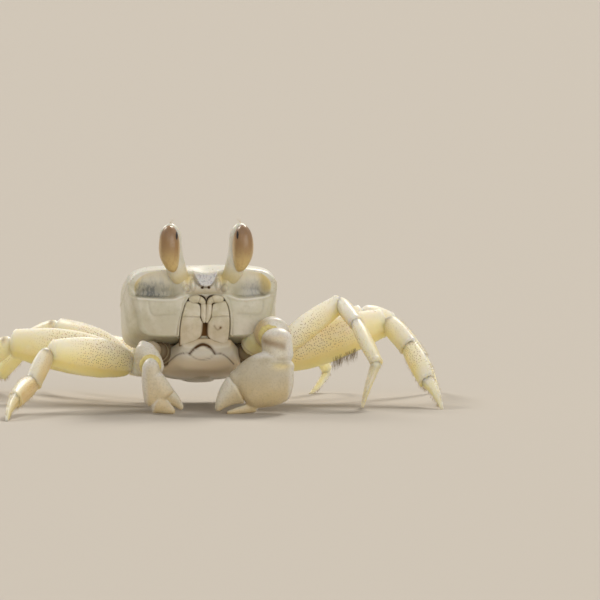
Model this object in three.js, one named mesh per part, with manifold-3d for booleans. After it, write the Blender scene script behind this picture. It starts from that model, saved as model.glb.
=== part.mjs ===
// Ghost crab (Ocypode), life size, standing with both claws resting on the floor.
// Millimetres. +X is the crab's left, -Y is its front, +Z is up, and the floor is z = 0.
import * as THREE from "three";
import { mergeVertices } from "three/addons/utils/BufferGeometryUtils.js";
import Module from "manifold-3d";

const wasm = await Module();
wasm.setup();

// ---------------------------------------------------------------- driving dimensions
const CARAPACE_WIDTH = 36;
const CARAPACE_LENGTH = 0.86 * CARAPACE_WIDTH;
const BODY_PITCH = THREE.MathUtils.degToRad(14); // nose up
const BODY_HEIGHT = 21; // from the floor to the middle of the shell
const GAP = 0.3; // between a piece and the one that cuts it
const LIMB_SIDES = 8; // facets round a limb
const LIMB_RINGS = 6; // facets along it

// Walking legs, second to fifth pair. Lengths run merus, carpus, propodus, dactylus.
const LEG_LENGTHS = {
  2: [22, 9.5, 13.5, 12],
  3: [30, 9.5, 12.5, 11.5],
  4: [26, 9.5, 13, 11.5],
  5: [16, 6.5, 9, 8.5],
};
// Half height of the merus plate in its middle, and the size of all other widths on that leg.
const LEG_MERUS_HALF_HEIGHT = { 2: 4.5, 3: 5.1, 4: 3.5, 5: 2.6 };
const LEG_SCALE = { 2: 1, 3: 1.05, 4: 1, 5: 0.68 };

// Each leg leaves the body at its hip. A segment's yaw is measured from straight sideways
// towards the front and its pitch upwards, in degrees. Where the last pitch is left out,
// the dactylus comes down to the floor. lean tips the top edge of the merus backwards.
const LEGS = [
  { pair: 2, side: -1, hip: [16, -3.8, 9.6], lean: 5, yaw: [21, 52, 68, 76], pitch: [10, -46, -11] },
  { pair: 3, side: -1, hip: [16.3, 2.4, 9.4], lean: 0, yaw: [-26, -34, -26, -12], pitch: [8, -32, -26] },
  { pair: 4, side: -1, hip: [15.5, 8, 10.0], lean: 0, yaw: [-52, -38, -54, -46], pitch: [14, -24, -38] },
  {
    pair: 5,
    side: -1,
    hip: [12.5, 13, 10.3],
    lean: 0,
    yaw: [-58, -44, -64, -78],
    pitch: [8, -16, -15, -16],
  },
  { pair: 2, side: 1, hip: [16, -4.2, 11.2], lean: 36, yaw: [-18, 70, 71, -125], pitch: [34, -27, -39] },
  { pair: 3, side: 1, hip: [16.3, 3.2, 9.2], lean: 0, yaw: [-6, 56, 72, 76], pitch: [18, -34, -36] },
  { pair: 4, side: 1, hip: [16, 8.2, 10.4], lean: 0, yaw: [-7, -40, -30, -48], pitch: [22, -15, -45] },
  { pair: 5, side: 1, hip: [12.5, 13, 10.3], lean: 0, yaw: [-42, -24, -52, 138], pitch: [13, -21, -44] },
];

// Claw-bearing legs. The palm is a plate that faces the front. Half sizes run height, width.
// carpusNarrow is the share of its full width at which the carpus starts.
const CLAWS = {
  major: {
    suffix: "left",
    joints: {
      shoulder: [7.6, -8.4, 11.6],
      merusStart: [9.8, -11.4, 12.8],
      knee: [13.4, -15.2, 18.2],
      carpusStart: [14.2, -15.8, 18.8],
      wrist: [15.6, -21.0, 17.2],
      neckStart: [15.3, -23.2, 19.6],
      palmStart: [19.4, -24.6, 8.9],
      palmEnd: [6.4, -25.3, 4.8],
      fingerStart: [6.6, -25.3, 5.9],
      fingerTip: [1.3, -25.6, 0.7],
      fixedStart: [11.0, -25.0, 1.6],
      fixedTip: [3.6, -26.2, 0.25],
    },
    merusHalf: [3.4, 3.3],
    carpusHalf: [4.1, 3.9],
    carpusNarrow: 0.9,
    palmHalf: [6.4, 3.4],
    palmBow: 0.9,
    neckHalf: 3.6,
    fingerHalf: [4.1, 2.3],
    fixedHalf: [1.4, 1.2],
  },
  minor: {
    suffix: "right",
    joints: {
      shoulder: [-9.2, -8.6, 12.8],
      merusStart: [-10.8, -11.8, 13.4],
      knee: [-14.0, -15.8, 14.0],
      carpusStart: [-15.2, -17.5, 16.4],
      wrist: [-12.4, -19.8, 8.0],
      neckStart: [-13.4, -21.6, 9.6],
      palmStart: [-13.6, -22.8, 12.9],
      palmEnd: [-13.4, -23.8, 1.6],
      fingerStart: [-11.8, -23.8, 5.6],
      fingerTip: [-6.3, -23.6, 1.0],
      fixedStart: [-12.9, -24.2, 3.0],
      fixedTip: [-8.0, -24.6, 0.3],
    },
    merusHalf: [2.6, 2.2],
    carpusHalf: [3.1, 2.4],
    carpusNarrow: 0.45,
    palmHalf: [2.2, 2.1],
    palmBow: 0,
    neckHalf: 1.9,
    fingerHalf: [2.1, 1.3],
    fixedHalf: [2.5, 1.6],
  },
};

// Eyes: the stalks stand straight up out of the inner corners of the orbits.
const EYE_X = 8.35;
const EYE_Y = -14.2;
const EYE_MIDDLE_Z = 37.5;
const CORNEA_RADII = [2.4, 2.4, 5.7];
const CORNEA_OUTWARDS = 0.5;
const CORNEA_FORWARDS = 1.0;
const STALK_TOP_Z = 43.4;
const STALK_FOOT = [4.4, -13.4, 28.3];

// ---------------------------------------------------------------- materials
const shell = (color, roughness = 0.45) =>
  new THREE.MeshStandardMaterial({ color, roughness, metalness: 0 });
const CREAM = 0xd9d4bd;
const STRAW = 0xdcc98a;
const CLAW_WHITE = 0xd8cdb4;
const CORNEA_TAN = 0xb98f5c;
const MOUTH_CREAM = 0xcdc6ad;

// ---------------------------------------------------------------- helpers
const vec = (list) => new THREE.Vector3(...list);
const SIDES = [["right", -1], ["left", 1]];

// Moves every vertex of a closed three.js geometry, with shared vertices merged first.
function displaced(geometry, move) {
  geometry.deleteAttribute("normal");
  geometry.deleteAttribute("uv");
  const welded = mergeVertices(geometry, 1e-5);
  const position = welded.attributes.position;
  const v = new THREE.Vector3();
  for (let i = 0; i < position.count; i++) {
    v.fromBufferAttribute(position, i);
    move(v);
    position.setXYZ(i, v.x, v.y, v.z);
  }
  return welded;
}

function solid(geometry) {
  return new wasm.Manifold(
    new wasm.Mesh({
      numProp: 3,
      vertProperties: geometry.attributes.position.array,
      triVerts: new Uint32Array(geometry.index.array),
    }),
  );
}

function geometryOf(manifold) {
  const mesh = manifold.getMesh();
  const geometry = new THREE.BufferGeometry();
  geometry.setAttribute("position", new THREE.BufferAttribute(mesh.vertProperties, 3));
  geometry.setIndex(new THREE.BufferAttribute(mesh.triVerts, 1));
  geometry.computeVertexNormals();
  return geometry;
}

// A cut can leave crumbs: only the largest body is kept.
function largest(manifold) {
  return manifold.decompose().reduce((a, b) => (a.volume() > b.volume() ? a : b));
}

// A smooth curve through [place, value] pairs.
function profile(pairs) {
  const curve = new THREE.SplineCurve(pairs.map((pair) => new THREE.Vector2(...pair)));
  const samples = curve.getPoints(pairs.length * 8);
  return (at) => {
    const clamped = THREE.MathUtils.clamp(at, samples[0].x, samples[samples.length - 1].x);
    const next = Math.max(1, samples.findIndex((s) => s.x >= clamped));
    const a = samples[next - 1];
    const b = samples[next];
    return THREE.MathUtils.mapLinear(clamped, a.x, b.x, a.y, b.y);
  };
}

const signedPower = (value, power) => Math.sign(value) * Math.abs(value) ** power;

// A swelling between two ends: the value at the start, at its fullest, and at the end.
function swelling(start, full, end, at) {
  return (t) =>
    t < at
      ? start + (full - start) * Math.sin((Math.PI / 2) * (t / at))
      : end + (full - end) * Math.cos((Math.PI / 2) * ((t - at) / (1 - at)));
}

// A closed limb with rounded ends along a curve. up is the direction of its height.
function limb({ curve, up, height, width, dome, endDome = dome, grow = 0, square = 1 }) {
  const length = curve.getLength() + 2 * grow;
  const radial = new THREE.Vector3();
  return displaced(new THREE.SphereGeometry(1, LIMB_SIDES, LIMB_RINGS), (v) => {
    const around = Math.hypot(v.x, v.z) || 1;
    const cross = signedPower(v.x / around, square);
    const rise = signedPower(v.z / around, square);
    const turn = Math.acos(THREE.MathUtils.clamp(v.y, -1, 1)) / Math.PI;
    const along = turn - (0.8 * Math.sin(2 * Math.PI * turn)) / (2 * Math.PI);
    const s = along * length;
    const startRound = s < dome ? Math.sqrt(1 - (1 - s / dome) ** 2) : 1;
    const left = length - s;
    const endRound = left < endDome ? Math.sqrt(Math.max(0, 1 - (1 - left / endDome) ** 2)) : 1;
    const full = turn < 1e-6 || turn > 1 - 1e-6 ? 0 : Math.min(startRound, endRound);
    const axis = curve.getTangentAt(along);
    const side = new THREE.Vector3().crossVectors(up, axis).normalize();
    const rises = new THREE.Vector3().crossVectors(axis, side);
    radial.copy(side).multiplyScalar(cross * (width(along) + grow) * full);
    radial.addScaledVector(rises, rise * (height(along) + grow) * full);
    v.copy(curve.getPointAt(along)).add(radial);
    v.addScaledVector(axis, grow * (2 * along - 1));
  });
}

function ellipsoid(center, radii, grow = 0, sides = 12, rings = 7) {
  return displaced(new THREE.SphereGeometry(1, sides, rings), (v) => {
    v.set(v.x * (radii[0] + grow), v.z * (radii[1] + grow), -v.y * (radii[2] + grow));
    v.add(vec(center));
  });
}

const crab = new THREE.Group();

function node(parent, name, manifold, material) {
  const mesh = new THREE.Mesh(geometryOf(largest(manifold)), material);
  mesh.name = name;
  parent.add(mesh);
  return mesh;
}

// ---------------------------------------------------------------- body, in its own frame
// x is across, y runs from the front to the back, z is up, and the middle is the origin.
const body = new THREE.Group();
body.rotation.x = -BODY_PITCH;
body.position.z = BODY_HEIGHT;
body.updateMatrixWorld(true);
crab.add(body);

const BODY_FRONT = -15.4;
const BODY_BACK = BODY_FRONT + CARAPACE_LENGTH;
const shellHalfWidth = profile([
  [-15.4, 16.3], [-14.2, 17.0], [-9, 17.2], [-2, 17.8], [5, 18.0], [11, 15.6], [15.6, 10.0],
]);
const shellTop = profile([[-15.4, 8.2], [-11, 9.8], [-5, 10.6], [3, 10.2], [10, 8.2], [15.6, 4.4]]);
// The side walls lean inwards below the orbital margin by this share of the half width.
const shellTaper = profile([[-15.4, 0.11], [-14.2, 0.11], [-9, 0.06], [-2, 0.02], [5, 0], [15.6, 0]]);
const TAPER_TOP = 4.5;
const TAPER_DEPTH = 7.5;
// How boxy the cross-section is: 1 is round, towards 0 it has square corners.
const SIDE_SQUARENESS = 0.36;
const BOTTOM_SQUARENESS = 0.35;
const topSquareness = profile([[-15.4, 0.54], [-9, 0.42], [5, 0.38], [15.6, 0.45]]);
const shellBottom = profile([[-15.4, -7.7], [-8, -8.3], [0, -7.9], [8, -6.9], [15.6, -3.4]]);

// The right front corner stands out further than the left by this share of the half width.
const rightFlare = profile([[-15.4, 0.07], [-8, 0.045], [0, 0.005], [15.6, 0]]);

function carapaceGeometry(grow = 0) {
  return displaced(new THREE.CylinderGeometry(1, 1, 1, 26, 8), (v) => {
    const across = v.x;
    const rise = v.z;
    const inner = Math.hypot(across, rise) < 0.5;
    const y = THREE.MathUtils.lerp(BODY_FRONT, BODY_BACK, 0.5 + v.y);
    const middle = (shellTop(y) + shellBottom(y)) / 2;
    const half = (shellTop(y) - shellBottom(y)) / 2 + grow;
    const z = middle + signedPower(rise, rise > 0 ? topSquareness(y) : BOTTOM_SQUARENESS) * half;
    const lean = THREE.MathUtils.clamp((TAPER_TOP - z) / TAPER_DEPTH, 0, 1) * shellTaper(y);
    const flare = across < 0 ? 1 + rightFlare(y) : 1;
    const x = signedPower(across, SIDE_SQUARENESS) * (shellHalfWidth(y) * flare * (1 - lean) + grow);
    v.set(inner ? 0 : x, y + 2 * grow * v.y, inner ? middle : z);
    if (v.y < BODY_FRONT + 1) v.y -= 0.9 * (1 - (v.x / 17) ** 2);
  });
}

// One long hollow under each upper orbital margin.
const ORBIT_RADII = [6.1, 4.6, 3.55];
const orbit = (side) => ellipsoid([side * 10.3, -17.2, 4.7], ORBIT_RADII);

// The mouth frame: an opening that narrows slightly downwards, filled by the maxillipeds.
const MOUTH_TOP = 1.7;
const MOUTH_BOTTOM = -9.6;
const MOUTH_HALF_WIDTH = 5.75;
const MOUTH_FACE_Y = -16.5;

function maxillipedShape(inset) {
  const outer = MOUTH_HALF_WIDTH - inset;
  const top = MOUTH_TOP - inset;
  const bottom = MOUTH_BOTTOM + inset;
  const shape = new THREE.Shape();
  shape.moveTo(inset, top);
  shape.lineTo(outer * 0.55, top - 0.1);
  shape.quadraticCurveTo(outer * 0.92, top - 0.8, outer * 0.97, top - 4.6);
  shape.lineTo(outer, bottom + 1.4);
  shape.quadraticCurveTo(outer * 0.72, bottom + 0.3, inset + 0.6, bottom + 2.6);
  shape.lineTo(inset, bottom + 3.4);
  return shape;
}

// The plate is drawn in the plane of the face, which slopes backwards towards its foot.
const FACE_SLOPE = 0.16;

function maxilliped(side, inset, depth, front) {
  const extruded = new THREE.ExtrudeGeometry(maxillipedShape(inset), {
    depth,
    bevelEnabled: false,
    curveSegments: 6,
  });
  const placed = displaced(extruded, (v) => {
    const y = MOUTH_FACE_Y + front + depth - v.z + (MOUTH_TOP - v.y) * FACE_SLOPE;
    v.set(side * v.x, y, v.y);
  });
  if (side < 0) placed.index.array.reverse();
  return placed;
}

const ROSTRUM = [0, -15.3, 6.3];
const ROSTRUM_RADII = [3.1, 2.0, 2.6];

// The outer orbital tooth: a small cone that leans outwards, forwards and up.
const TOOTH = [16.6, -14.4, 5.2];
const TOOTH_LEAN = [0.35, -0.3, 0.5];

function orbitalTooth(side) {
  const cone = displaced(new THREE.ConeGeometry(1.3, 3.4, 6), (v) => {
    const rise = v.y;
    v.set(side * 0.6 * v.x, -0.8 * v.z, 0).add(vec([side * TOOTH[0], TOOTH[1], TOOTH[2]]));
    v.addScaledVector(vec([side * TOOTH_LEAN[0], TOOTH_LEAN[1], TOOTH_LEAN[2]]), rise);
  });
  if (side > 0) cone.index.array.reverse();
  return cone;
}

let carapace = solid(carapaceGeometry()).add(solid(ellipsoid(ROSTRUM, ROSTRUM_RADII)));
for (const side of [-1, 1]) {
  carapace = carapace.add(solid(orbitalTooth(side)));
  carapace = carapace.subtract(solid(orbit(side)));
  carapace = carapace.subtract(solid(maxilliped(side, 0, 6, -3.5)));
}

const sternumHalfWidth = profile([[-13.6, 5.4], [-10, 7.8], [-5, 9.7], [0, 10.4], [8, 9.4], [13.8, 6]]);
const sternumBottom = profile([
  [-13.6, -11.4], [-12.2, -13.2], [-9.7, -14.6], [-4, -15.1], [4, -14.7], [10, -13.2], [13.8, -10],
]);
const STERNUM_FRONT = -13.6;
const STERNUM_BACK = 13.8;

function sternumGeometry(grow = 0) {
  return displaced(new THREE.CylinderGeometry(1, 1, 1, 20, 7), (v) => {
    const inner = Math.hypot(v.x, v.z) < 0.5;
    const y = THREE.MathUtils.lerp(STERNUM_FRONT, STERNUM_BACK, 0.5 + v.y);
    const top = Math.min(shellBottom(y), MOUTH_BOTTOM + 1.2 + (y - STERNUM_FRONT) * 0.6);
    const bottom = sternumBottom(y);
    const middle = (top + bottom) / 2;
    const half = (top - bottom) / 2 + grow;
    const x = signedPower(v.x, 0.6) * (sternumHalfWidth(y) + grow);
    const z = middle + signedPower(v.z, v.z > 0 ? 0.35 : 0.75) * half;
    v.set(inner ? 0 : x, y + 2 * grow * v.y, inner ? middle : z);
  });
}

// The abdomen is a narrow flap folded forwards under the sternum.
const abdomenPath = new THREE.CatmullRomCurve3(
  [[0, 15.9, 1.5], [0, 16.4, -5], [0, 13.4, -11.4], [0, 6, -14.2], [0, -3, -14.9]].map(vec),
);

function abdomenGeometry(grow = 0) {
  return limb({
    curve: abdomenPath,
    up: new THREE.Vector3(1, 0, 0),
    height: swelling(6.2, 4.8, 1.6, 0.35),
    width: () => 0.75,
    dome: 1.2,
    grow,
    square: 0.8,
  });
}

const carapaceGrown = solid(carapaceGeometry(GAP));
const abdomenGrown = solid(abdomenGeometry(GAP));
const sternum = solid(sternumGeometry()).subtract(carapaceGrown).subtract(abdomenGrown);
node(body, "carapace", carapace.subtract(abdomenGrown), shell(CREAM));
node(body, "sternum", sternum, shell(CREAM));
node(body, "abdomen", solid(abdomenGeometry()), shell(CREAM));
for (const [name, side] of SIDES) {
  const plate = solid(maxilliped(side, GAP, 1.8, 0)).subtract(solid(sternumGeometry(GAP)));
  node(body, "maxilliped_" + name, plate, shell(MOUTH_CREAM));
}

// ---------------------------------------------------------------- eyes
for (const [name, side] of SIDES) {
  const corneaCenter = [side * (EYE_X + CORNEA_OUTWARDS), EYE_Y - CORNEA_FORWARDS, EYE_MIDDLE_Z];
  const stalkPath = new THREE.CatmullRomCurve3([
    vec([side * STALK_FOOT[0], STALK_FOOT[1], STALK_FOOT[2]]),
    new THREE.Vector3(side * (EYE_X - 1.9), EYE_Y, 32),
    new THREE.Vector3(side * (EYE_X - 0.4), EYE_Y, EYE_MIDDLE_Z),
    new THREE.Vector3(side * (EYE_X - 0.2), EYE_Y, STALK_TOP_Z),
  ]);
  const stalk = solid(
    limb({
      curve: stalkPath,
      up: new THREE.Vector3(0, 1, 0),
      height: swelling(1.7, 2.5, 2.3, 0.75),
      width: swelling(1.7, 2.6, 2.5, 0.8),
      dome: 0.8,
      endDome: 3.6,
    }),
  );
  const cornea = solid(ellipsoid(corneaCenter, CORNEA_RADII));
  const room = solid(ellipsoid(corneaCenter, CORNEA_RADII, 0.15));
  const shellInWorld = solid(carapaceGeometry(GAP).applyMatrix4(body.matrixWorld));
  const frontInWorld = solid(
    ellipsoid(ROSTRUM, ROSTRUM_RADII, GAP).applyMatrix4(body.matrixWorld),
  );
  const orbitInWorld = solid(orbit(side).applyMatrix4(body.matrixWorld));
  const around = shellInWorld.subtract(orbitInWorld).add(frontInWorld);
  node(crab, "eyestalk_" + name, stalk.subtract(room).subtract(around), shell(CREAM));
  node(crab, "cornea_" + name, cornea.subtract(around), shell(CORNEA_TAN, 0.25));
}

// ---------------------------------------------------------------- limbs, in the part's frame
const bodyInWorld = solid(carapaceGeometry(GAP).applyMatrix4(body.matrixWorld))
  .add(solid(sternumGeometry(GAP).applyMatrix4(body.matrixWorld)))
  .add(solid(abdomenGeometry(GAP).applyMatrix4(body.matrixWorld)));

function keepAboveFloor(geometry) {
  const position = geometry.attributes.position;
  for (let i = 0; i < position.count; i++) {
    position.setZ(i, Math.max(0, position.getZ(i)));
  }
  return geometry;
}

// Turns up so that it stays square to a new axis, as a hinge carries it across a joint.
function carryAcross(up, from, to) {
  const turn = new THREE.Quaternion().setFromUnitVectors(from, to);
  return up.clone().applyQuaternion(turn);
}

// Builds a chain of segments. Each is cut back to GAP from the one before it, and the
// first three also from the body.
function chain(names, segments, material) {
  let before = bodyInWorld;
  const group = new THREE.Group();
  segments.forEach((segment, i) => {
    let piece = solid(keepAboveFloor(limb(segment)));
    for (const joined of segment.joined ?? []) {
      piece = piece.add(solid(keepAboveFloor(limb(joined))));
    }
    if (i < 3) piece = piece.subtract(bodyInWorld);
    node(group, names[i], piece.subtract(before), material);
    before = solid(limb({ ...segment, grow: GAP }));
    for (const joined of segment.joined ?? []) {
      before = before.add(solid(limb({ ...joined, grow: GAP })));
    }
  });
  crab.add(group);
}

function directionOf(side, yawDegrees, pitchDegrees) {
  const yaw = THREE.MathUtils.degToRad(yawDegrees);
  const pitch = THREE.MathUtils.degToRad(pitchDegrees);
  return new THREE.Vector3(
    side * Math.cos(pitch) * Math.cos(yaw),
    -Math.cos(pitch) * Math.sin(yaw),
    Math.sin(pitch),
  );
}

const FINGER_TIP = [0.5, 0.45]; // half sizes of a claw finger at its tip
const FINGER_BOW = 0.6;
const TIP_RADIUS = 0.32; // of a walking leg
const BASE_LENGTH = 7.5; // of the short segments between the body and the merus
const TIP_SINK = 0.16; // how far a tip would pass the floor: it is planed off there
const straight = (from, to) => new THREE.LineCurve3(from, to);

// A segment that bows outwards in its middle by the given amount.
function bowed(from, to, up, amount) {
  const middle = from.clone().lerp(to, 0.5).addScaledVector(up, amount * 2);
  return new THREE.QuadraticBezierCurve3(from, middle, to);
}

function walkingLeg({ pair, side, hip, lean, yaw, pitch }) {
  const lengths = LEG_LENGTHS[pair];
  const k = LEG_SCALE[pair];
  const merusHalf = LEG_MERUS_HALF_HEIGHT[pair];
  const joints = [new THREE.Vector3(side * hip[0], hip[1], hip[2])];
  const axes = [];
  lengths.forEach((length, i) => {
    const last = joints[i];
    const down = -THREE.MathUtils.radToDeg(Math.asin((last.z + TIP_SINK) / length));
    const axis = directionOf(side, yaw[i], pitch[i] ?? down);
    axes.push(axis);
    joints.push(last.clone().addScaledVector(axis, length));
  });
  const inside = new THREE.Vector3(side * (hip[0] - BASE_LENGTH), hip[1] - 0.2, hip[2] - 0.4);
  const ups = [];
  const level = new THREE.Vector3(0, 0, 1).projectOnPlane(axes[0]).normalize();
  ups.push(level.applyAxisAngle(axes[0], THREE.MathUtils.degToRad(side * lean)));
  for (let i = 1; i < 4; i++) ups.push(carryAcross(ups[i - 1], axes[i - 1], axes[i]));
  const suffix = "leg" + pair + "_" + (side > 0 ? "left" : "right") + "_";
  chain(
    ["base", "merus", "carpus", "propodus", "dactylus"].map((part) => suffix + part),
    [
      {
        curve: straight(inside, joints[0]),
        up: new THREE.Vector3(0, 0, 1),
        height: swelling(2.6 * k, 2.7 * k, 2.3 * k, 0.5),
        width: swelling(2.5 * k, 2.4 * k, 1.9 * k, 0.4),
        dome: 1,
      },
      {
        curve: bowed(joints[0], joints[1], ups[0], 0.5),
        up: ups[0],
        height: swelling(0.5 * merusHalf, merusHalf, 0.6 * merusHalf, 0.45),
        width: swelling(1.7 * k, 2.1 * k, 1.7 * k, 0.5),
        dome: 2.0,
      },
      {
        curve: bowed(joints[1], joints[2], ups[1], 0.3),
        up: ups[1],
        height: swelling(1.9 * k, 2.35 * k, 2.1 * k, 0.45),
        width: swelling(1.5 * k, 1.9 * k, 1.6 * k, 0.5),
        dome: 1.2,
      },
      {
        curve: bowed(joints[2], joints[3], ups[2], 0.3),
        up: ups[2],
        height: swelling(1.9 * k, 2.3 * k, 1.9 * k, 0.5),
        width: swelling(1.4 * k, 1.65 * k, 1.4 * k, 0.4),
        dome: 1.2,
      },
      {
        curve: bowed(joints[3], joints[4], ups[3], 0.7),
        up: ups[3],
        height: (t) => THREE.MathUtils.lerp(1.75 * k, TIP_RADIUS, t ** 1.1),
        width: (t) => THREE.MathUtils.lerp(1.25 * k, TIP_RADIUS, t),
        dome: 0.9,
        endDome: 0.4,
      },
    ],
    shell(STRAW),
  );
}

LEGS.forEach(walkingLeg);

function clawLeg({ suffix, joints, ...claw }) {
  const at = Object.fromEntries(Object.entries(joints).map(([name, list]) => [name, vec(list)]));
  const vertical = new THREE.Vector3(0, 0, 1);
  const sideways = new THREE.Vector3(1, 0, 0);
  const palmAxis = at.palmEnd.clone().sub(at.palmStart).normalize();
  // Across the palm, towards the movable finger.
  const palmUp = new THREE.Vector3(0, suffix === "left" ? 1 : -1, 0).cross(palmAxis).normalize();
  const [merusHeight, merusWidth] = claw.merusHalf;
  const [carpusHeight, carpusWidth] = claw.carpusHalf;
  const [palmHeight, palmWidth] = claw.palmHalf;
  const finger = (from, tip, bow, [height, width]) => ({
    curve: bowed(from, tip, palmUp, bow),
    up: palmUp,
    height: (t) => THREE.MathUtils.lerp(height, FINGER_TIP[0], t),
    width: (t) => THREE.MathUtils.lerp(width, FINGER_TIP[1], t),
    dome: 1.2,
    endDome: 0.6,
  });
  const neck = {
    curve: straight(at.neckStart, at.palmStart.clone().lerp(at.palmEnd, 0.25)),
    up: sideways,
    height: () => claw.neckHalf,
    width: () => claw.neckHalf * 0.9,
    dome: claw.neckHalf * 0.8,
  };
  chain(
    ["base", "merus", "carpus", "palm", "finger"].map((part) => "claw_" + suffix + "_" + part),
    [
      {
        curve: straight(at.shoulder, at.merusStart),
        up: vertical,
        height: () => 2.6,
        width: () => 2.4,
        dome: 1,
      },
      {
        curve: straight(at.merusStart, at.knee),
        up: vertical,
        height: swelling(2.4, merusHeight, 0.95 * merusHeight, 0.7),
        width: swelling(2.2, merusWidth, 0.95 * merusWidth, 0.7),
        dome: 1.6,
        endDome: 2.4,
      },
      {
        curve: straight(at.carpusStart, at.wrist),
        up: sideways,
        height: swelling(claw.carpusNarrow * carpusHeight, carpusHeight, 0.9 * carpusHeight, 0.6),
        width: swelling(claw.carpusNarrow * carpusWidth, carpusWidth, 0.9 * carpusWidth, 0.6),
        dome: 2.2,
      },
      {
        curve: bowed(at.palmStart, at.palmEnd, palmUp, claw.palmBow),
        up: palmUp,
        height: swelling(0.8 * palmHeight, palmHeight, 0.68 * palmHeight, 0.45),
        width: swelling(0.8 * palmWidth, palmWidth, 0.7 * palmWidth, 0.5),
        dome: 2.6,
        endDome: 1.6,
        square: 0.85,
        joined: [neck, finger(at.fixedStart, at.fixedTip, 0, claw.fixedHalf)],
      },
      finger(at.fingerStart, at.fingerTip, FINGER_BOW, claw.fingerHalf),
    ],
    shell(CLAW_WHITE, 0.4),
  );
}

clawLeg(CLAWS.major);
clawLeg(CLAWS.minor);

// The origin is on the floor, under the middle of the whole crab.
const middle = new THREE.Box3().setFromObject(crab).getCenter(new THREE.Vector3());
crab.position.set(-middle.x, -middle.y, 0);

export default crab;
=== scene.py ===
"""Ghost crab, life size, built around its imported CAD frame: shell plates, eyes, claws and bristles.

Shapes are worked out in millimetres in the crab's own frame: +X is its left, -Y its front, +Z is up,
and the floor is z = 0. The body is drawn level in a frame of its own and then pitched nose up.
"""

import math

import bpy
import numpy as np
from mathutils import Matrix, Vector


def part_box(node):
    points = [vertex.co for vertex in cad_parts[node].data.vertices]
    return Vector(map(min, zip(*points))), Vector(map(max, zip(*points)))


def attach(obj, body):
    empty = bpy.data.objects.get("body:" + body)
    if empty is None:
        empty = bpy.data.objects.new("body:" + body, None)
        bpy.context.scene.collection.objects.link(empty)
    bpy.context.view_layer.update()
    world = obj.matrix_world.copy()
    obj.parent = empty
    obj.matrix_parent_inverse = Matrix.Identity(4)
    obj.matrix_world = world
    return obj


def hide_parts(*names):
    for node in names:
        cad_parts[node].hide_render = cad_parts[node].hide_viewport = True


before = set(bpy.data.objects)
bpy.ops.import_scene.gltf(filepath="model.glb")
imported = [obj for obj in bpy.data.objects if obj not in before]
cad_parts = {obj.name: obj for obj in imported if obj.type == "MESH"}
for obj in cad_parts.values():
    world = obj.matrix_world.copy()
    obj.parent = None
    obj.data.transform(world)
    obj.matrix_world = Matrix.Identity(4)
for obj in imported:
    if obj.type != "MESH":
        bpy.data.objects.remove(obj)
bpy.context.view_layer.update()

# ---------------------------------------------------------------- driving dimensions, millimetres
MM = 0.001
BODY_PITCH = math.radians(14)
BODY_HEIGHT = 21.0
EYE_MIDDLE = np.array([8.85, -15.2, 37.5])
eye_low, eye_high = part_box("cornea_left")
SHIFT = np.array((eye_low + eye_high) / 2) / MM - EYE_MIDDLE  # from the crab's frame to the part's

CARAPACE_LENGTH = 30.96
BODY_FRONT = -15.4
BODY_BACK = BODY_FRONT + CARAPACE_LENGTH
SIDES = {"right": -1, "left": 1}

LEG_LENGTHS = {
    2: [22, 9.5, 13.5, 12],
    3: [30, 9.5, 12.5, 11.5],
    4: [26, 9.5, 13, 11.5],
    5: [16, 6.5, 9, 8.5],
}
MERUS_HALF_HEIGHT = {2: 4.5, 3: 5.1, 4: 3.5, 5: 2.6}
LEG_SCALE = {2: 1, 3: 1.05, 4: 1, 5: 0.68}
# Pair, side, hip, lean of the merus, and the yaw and pitch of each segment in degrees. The last
# pitch is the one that brings the tip to the floor, unless it is given.
LEGS = [
    (2, "right", [16, -3.8, 9.6], 5, [21, 52, 68, 76], [10, -46, -11]),
    (3, "right", [16.3, 2.4, 9.4], 0, [-26, -34, -26, -12], [8, -32, -26]),
    (4, "right", [15.5, 8, 10.0], 0, [-52, -38, -54, -46], [14, -24, -38]),
    (5, "right", [12.5, 13, 10.3], 0, [-58, -44, -64, -78], [8, -16, -15, -16]),
    (2, "left", [16, -4.2, 11.2], 36, [-18, 70, 71, -125], [34, -27, -39]),
    (3, "left", [16.3, 3.2, 9.2], 0, [-6, 56, 72, 76], [18, -34, -36]),
    (4, "left", [16, 8.2, 10.4], 0, [-7, -40, -30, -48], [22, -15, -45]),
    (5, "left", [12.5, 13, 10.3], 0, [-42, -24, -52, 138], [13, -21, -44]),
]
TIP_SINK = 0.16  # how far a tip would pass the floor: it is planed off there
TIP_RADIUS = 0.32
# The legs whose joints carry a strong grey smudge, those that are tanned towards the tip and how
# much, and the leg with a dark brush under its merus.
SMUDGED = [(2, "right"), (3, "right"), (4, "right"), (3, "left")]
TANNED = {(2, "right"): 1.0, (2, "left"): 0.55}
BRUSHED = [(3, "left")]


# ---------------------------------------------------------------- small mathematics
def clamped(value):
    return np.clip(value, 0, 1)


def smooth(low, high, value):
    t = clamped((value - low) / (high - low))
    return t * t * (3 - 2 * t)


def hump(distance, width):
    return np.exp(-((distance / width) ** 2))


def signed_power(value, power):
    return np.sign(value) * np.abs(value) ** power


def unit(v):
    v = np.asarray(v, float)
    return v / np.linalg.norm(v, axis=-1, keepdims=True)


def spline(points, per_span=12):
    """A smooth curve through the points."""
    p = np.array(points, float)
    p = np.vstack([p[:1], p, p[-1:]])
    t = np.linspace(0, 1, per_span, endpoint=False)[:, None]
    spans = []
    for a, b, c, d in zip(p[:-3], p[1:-2], p[2:-1], p[3:]):
        cubic = 2 * b + (c - a) * t + (2 * a - 5 * b + 4 * c - d) * t**2
        spans.append(0.5 * (cubic + (3 * b - a - 3 * c + d) * t**3))
    return np.vstack([*spans, p[-1:]])


def profile(pairs):
    curve = spline(pairs)
    return lambda at: np.interp(at, curve[:, 0], curve[:, 1])


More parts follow.
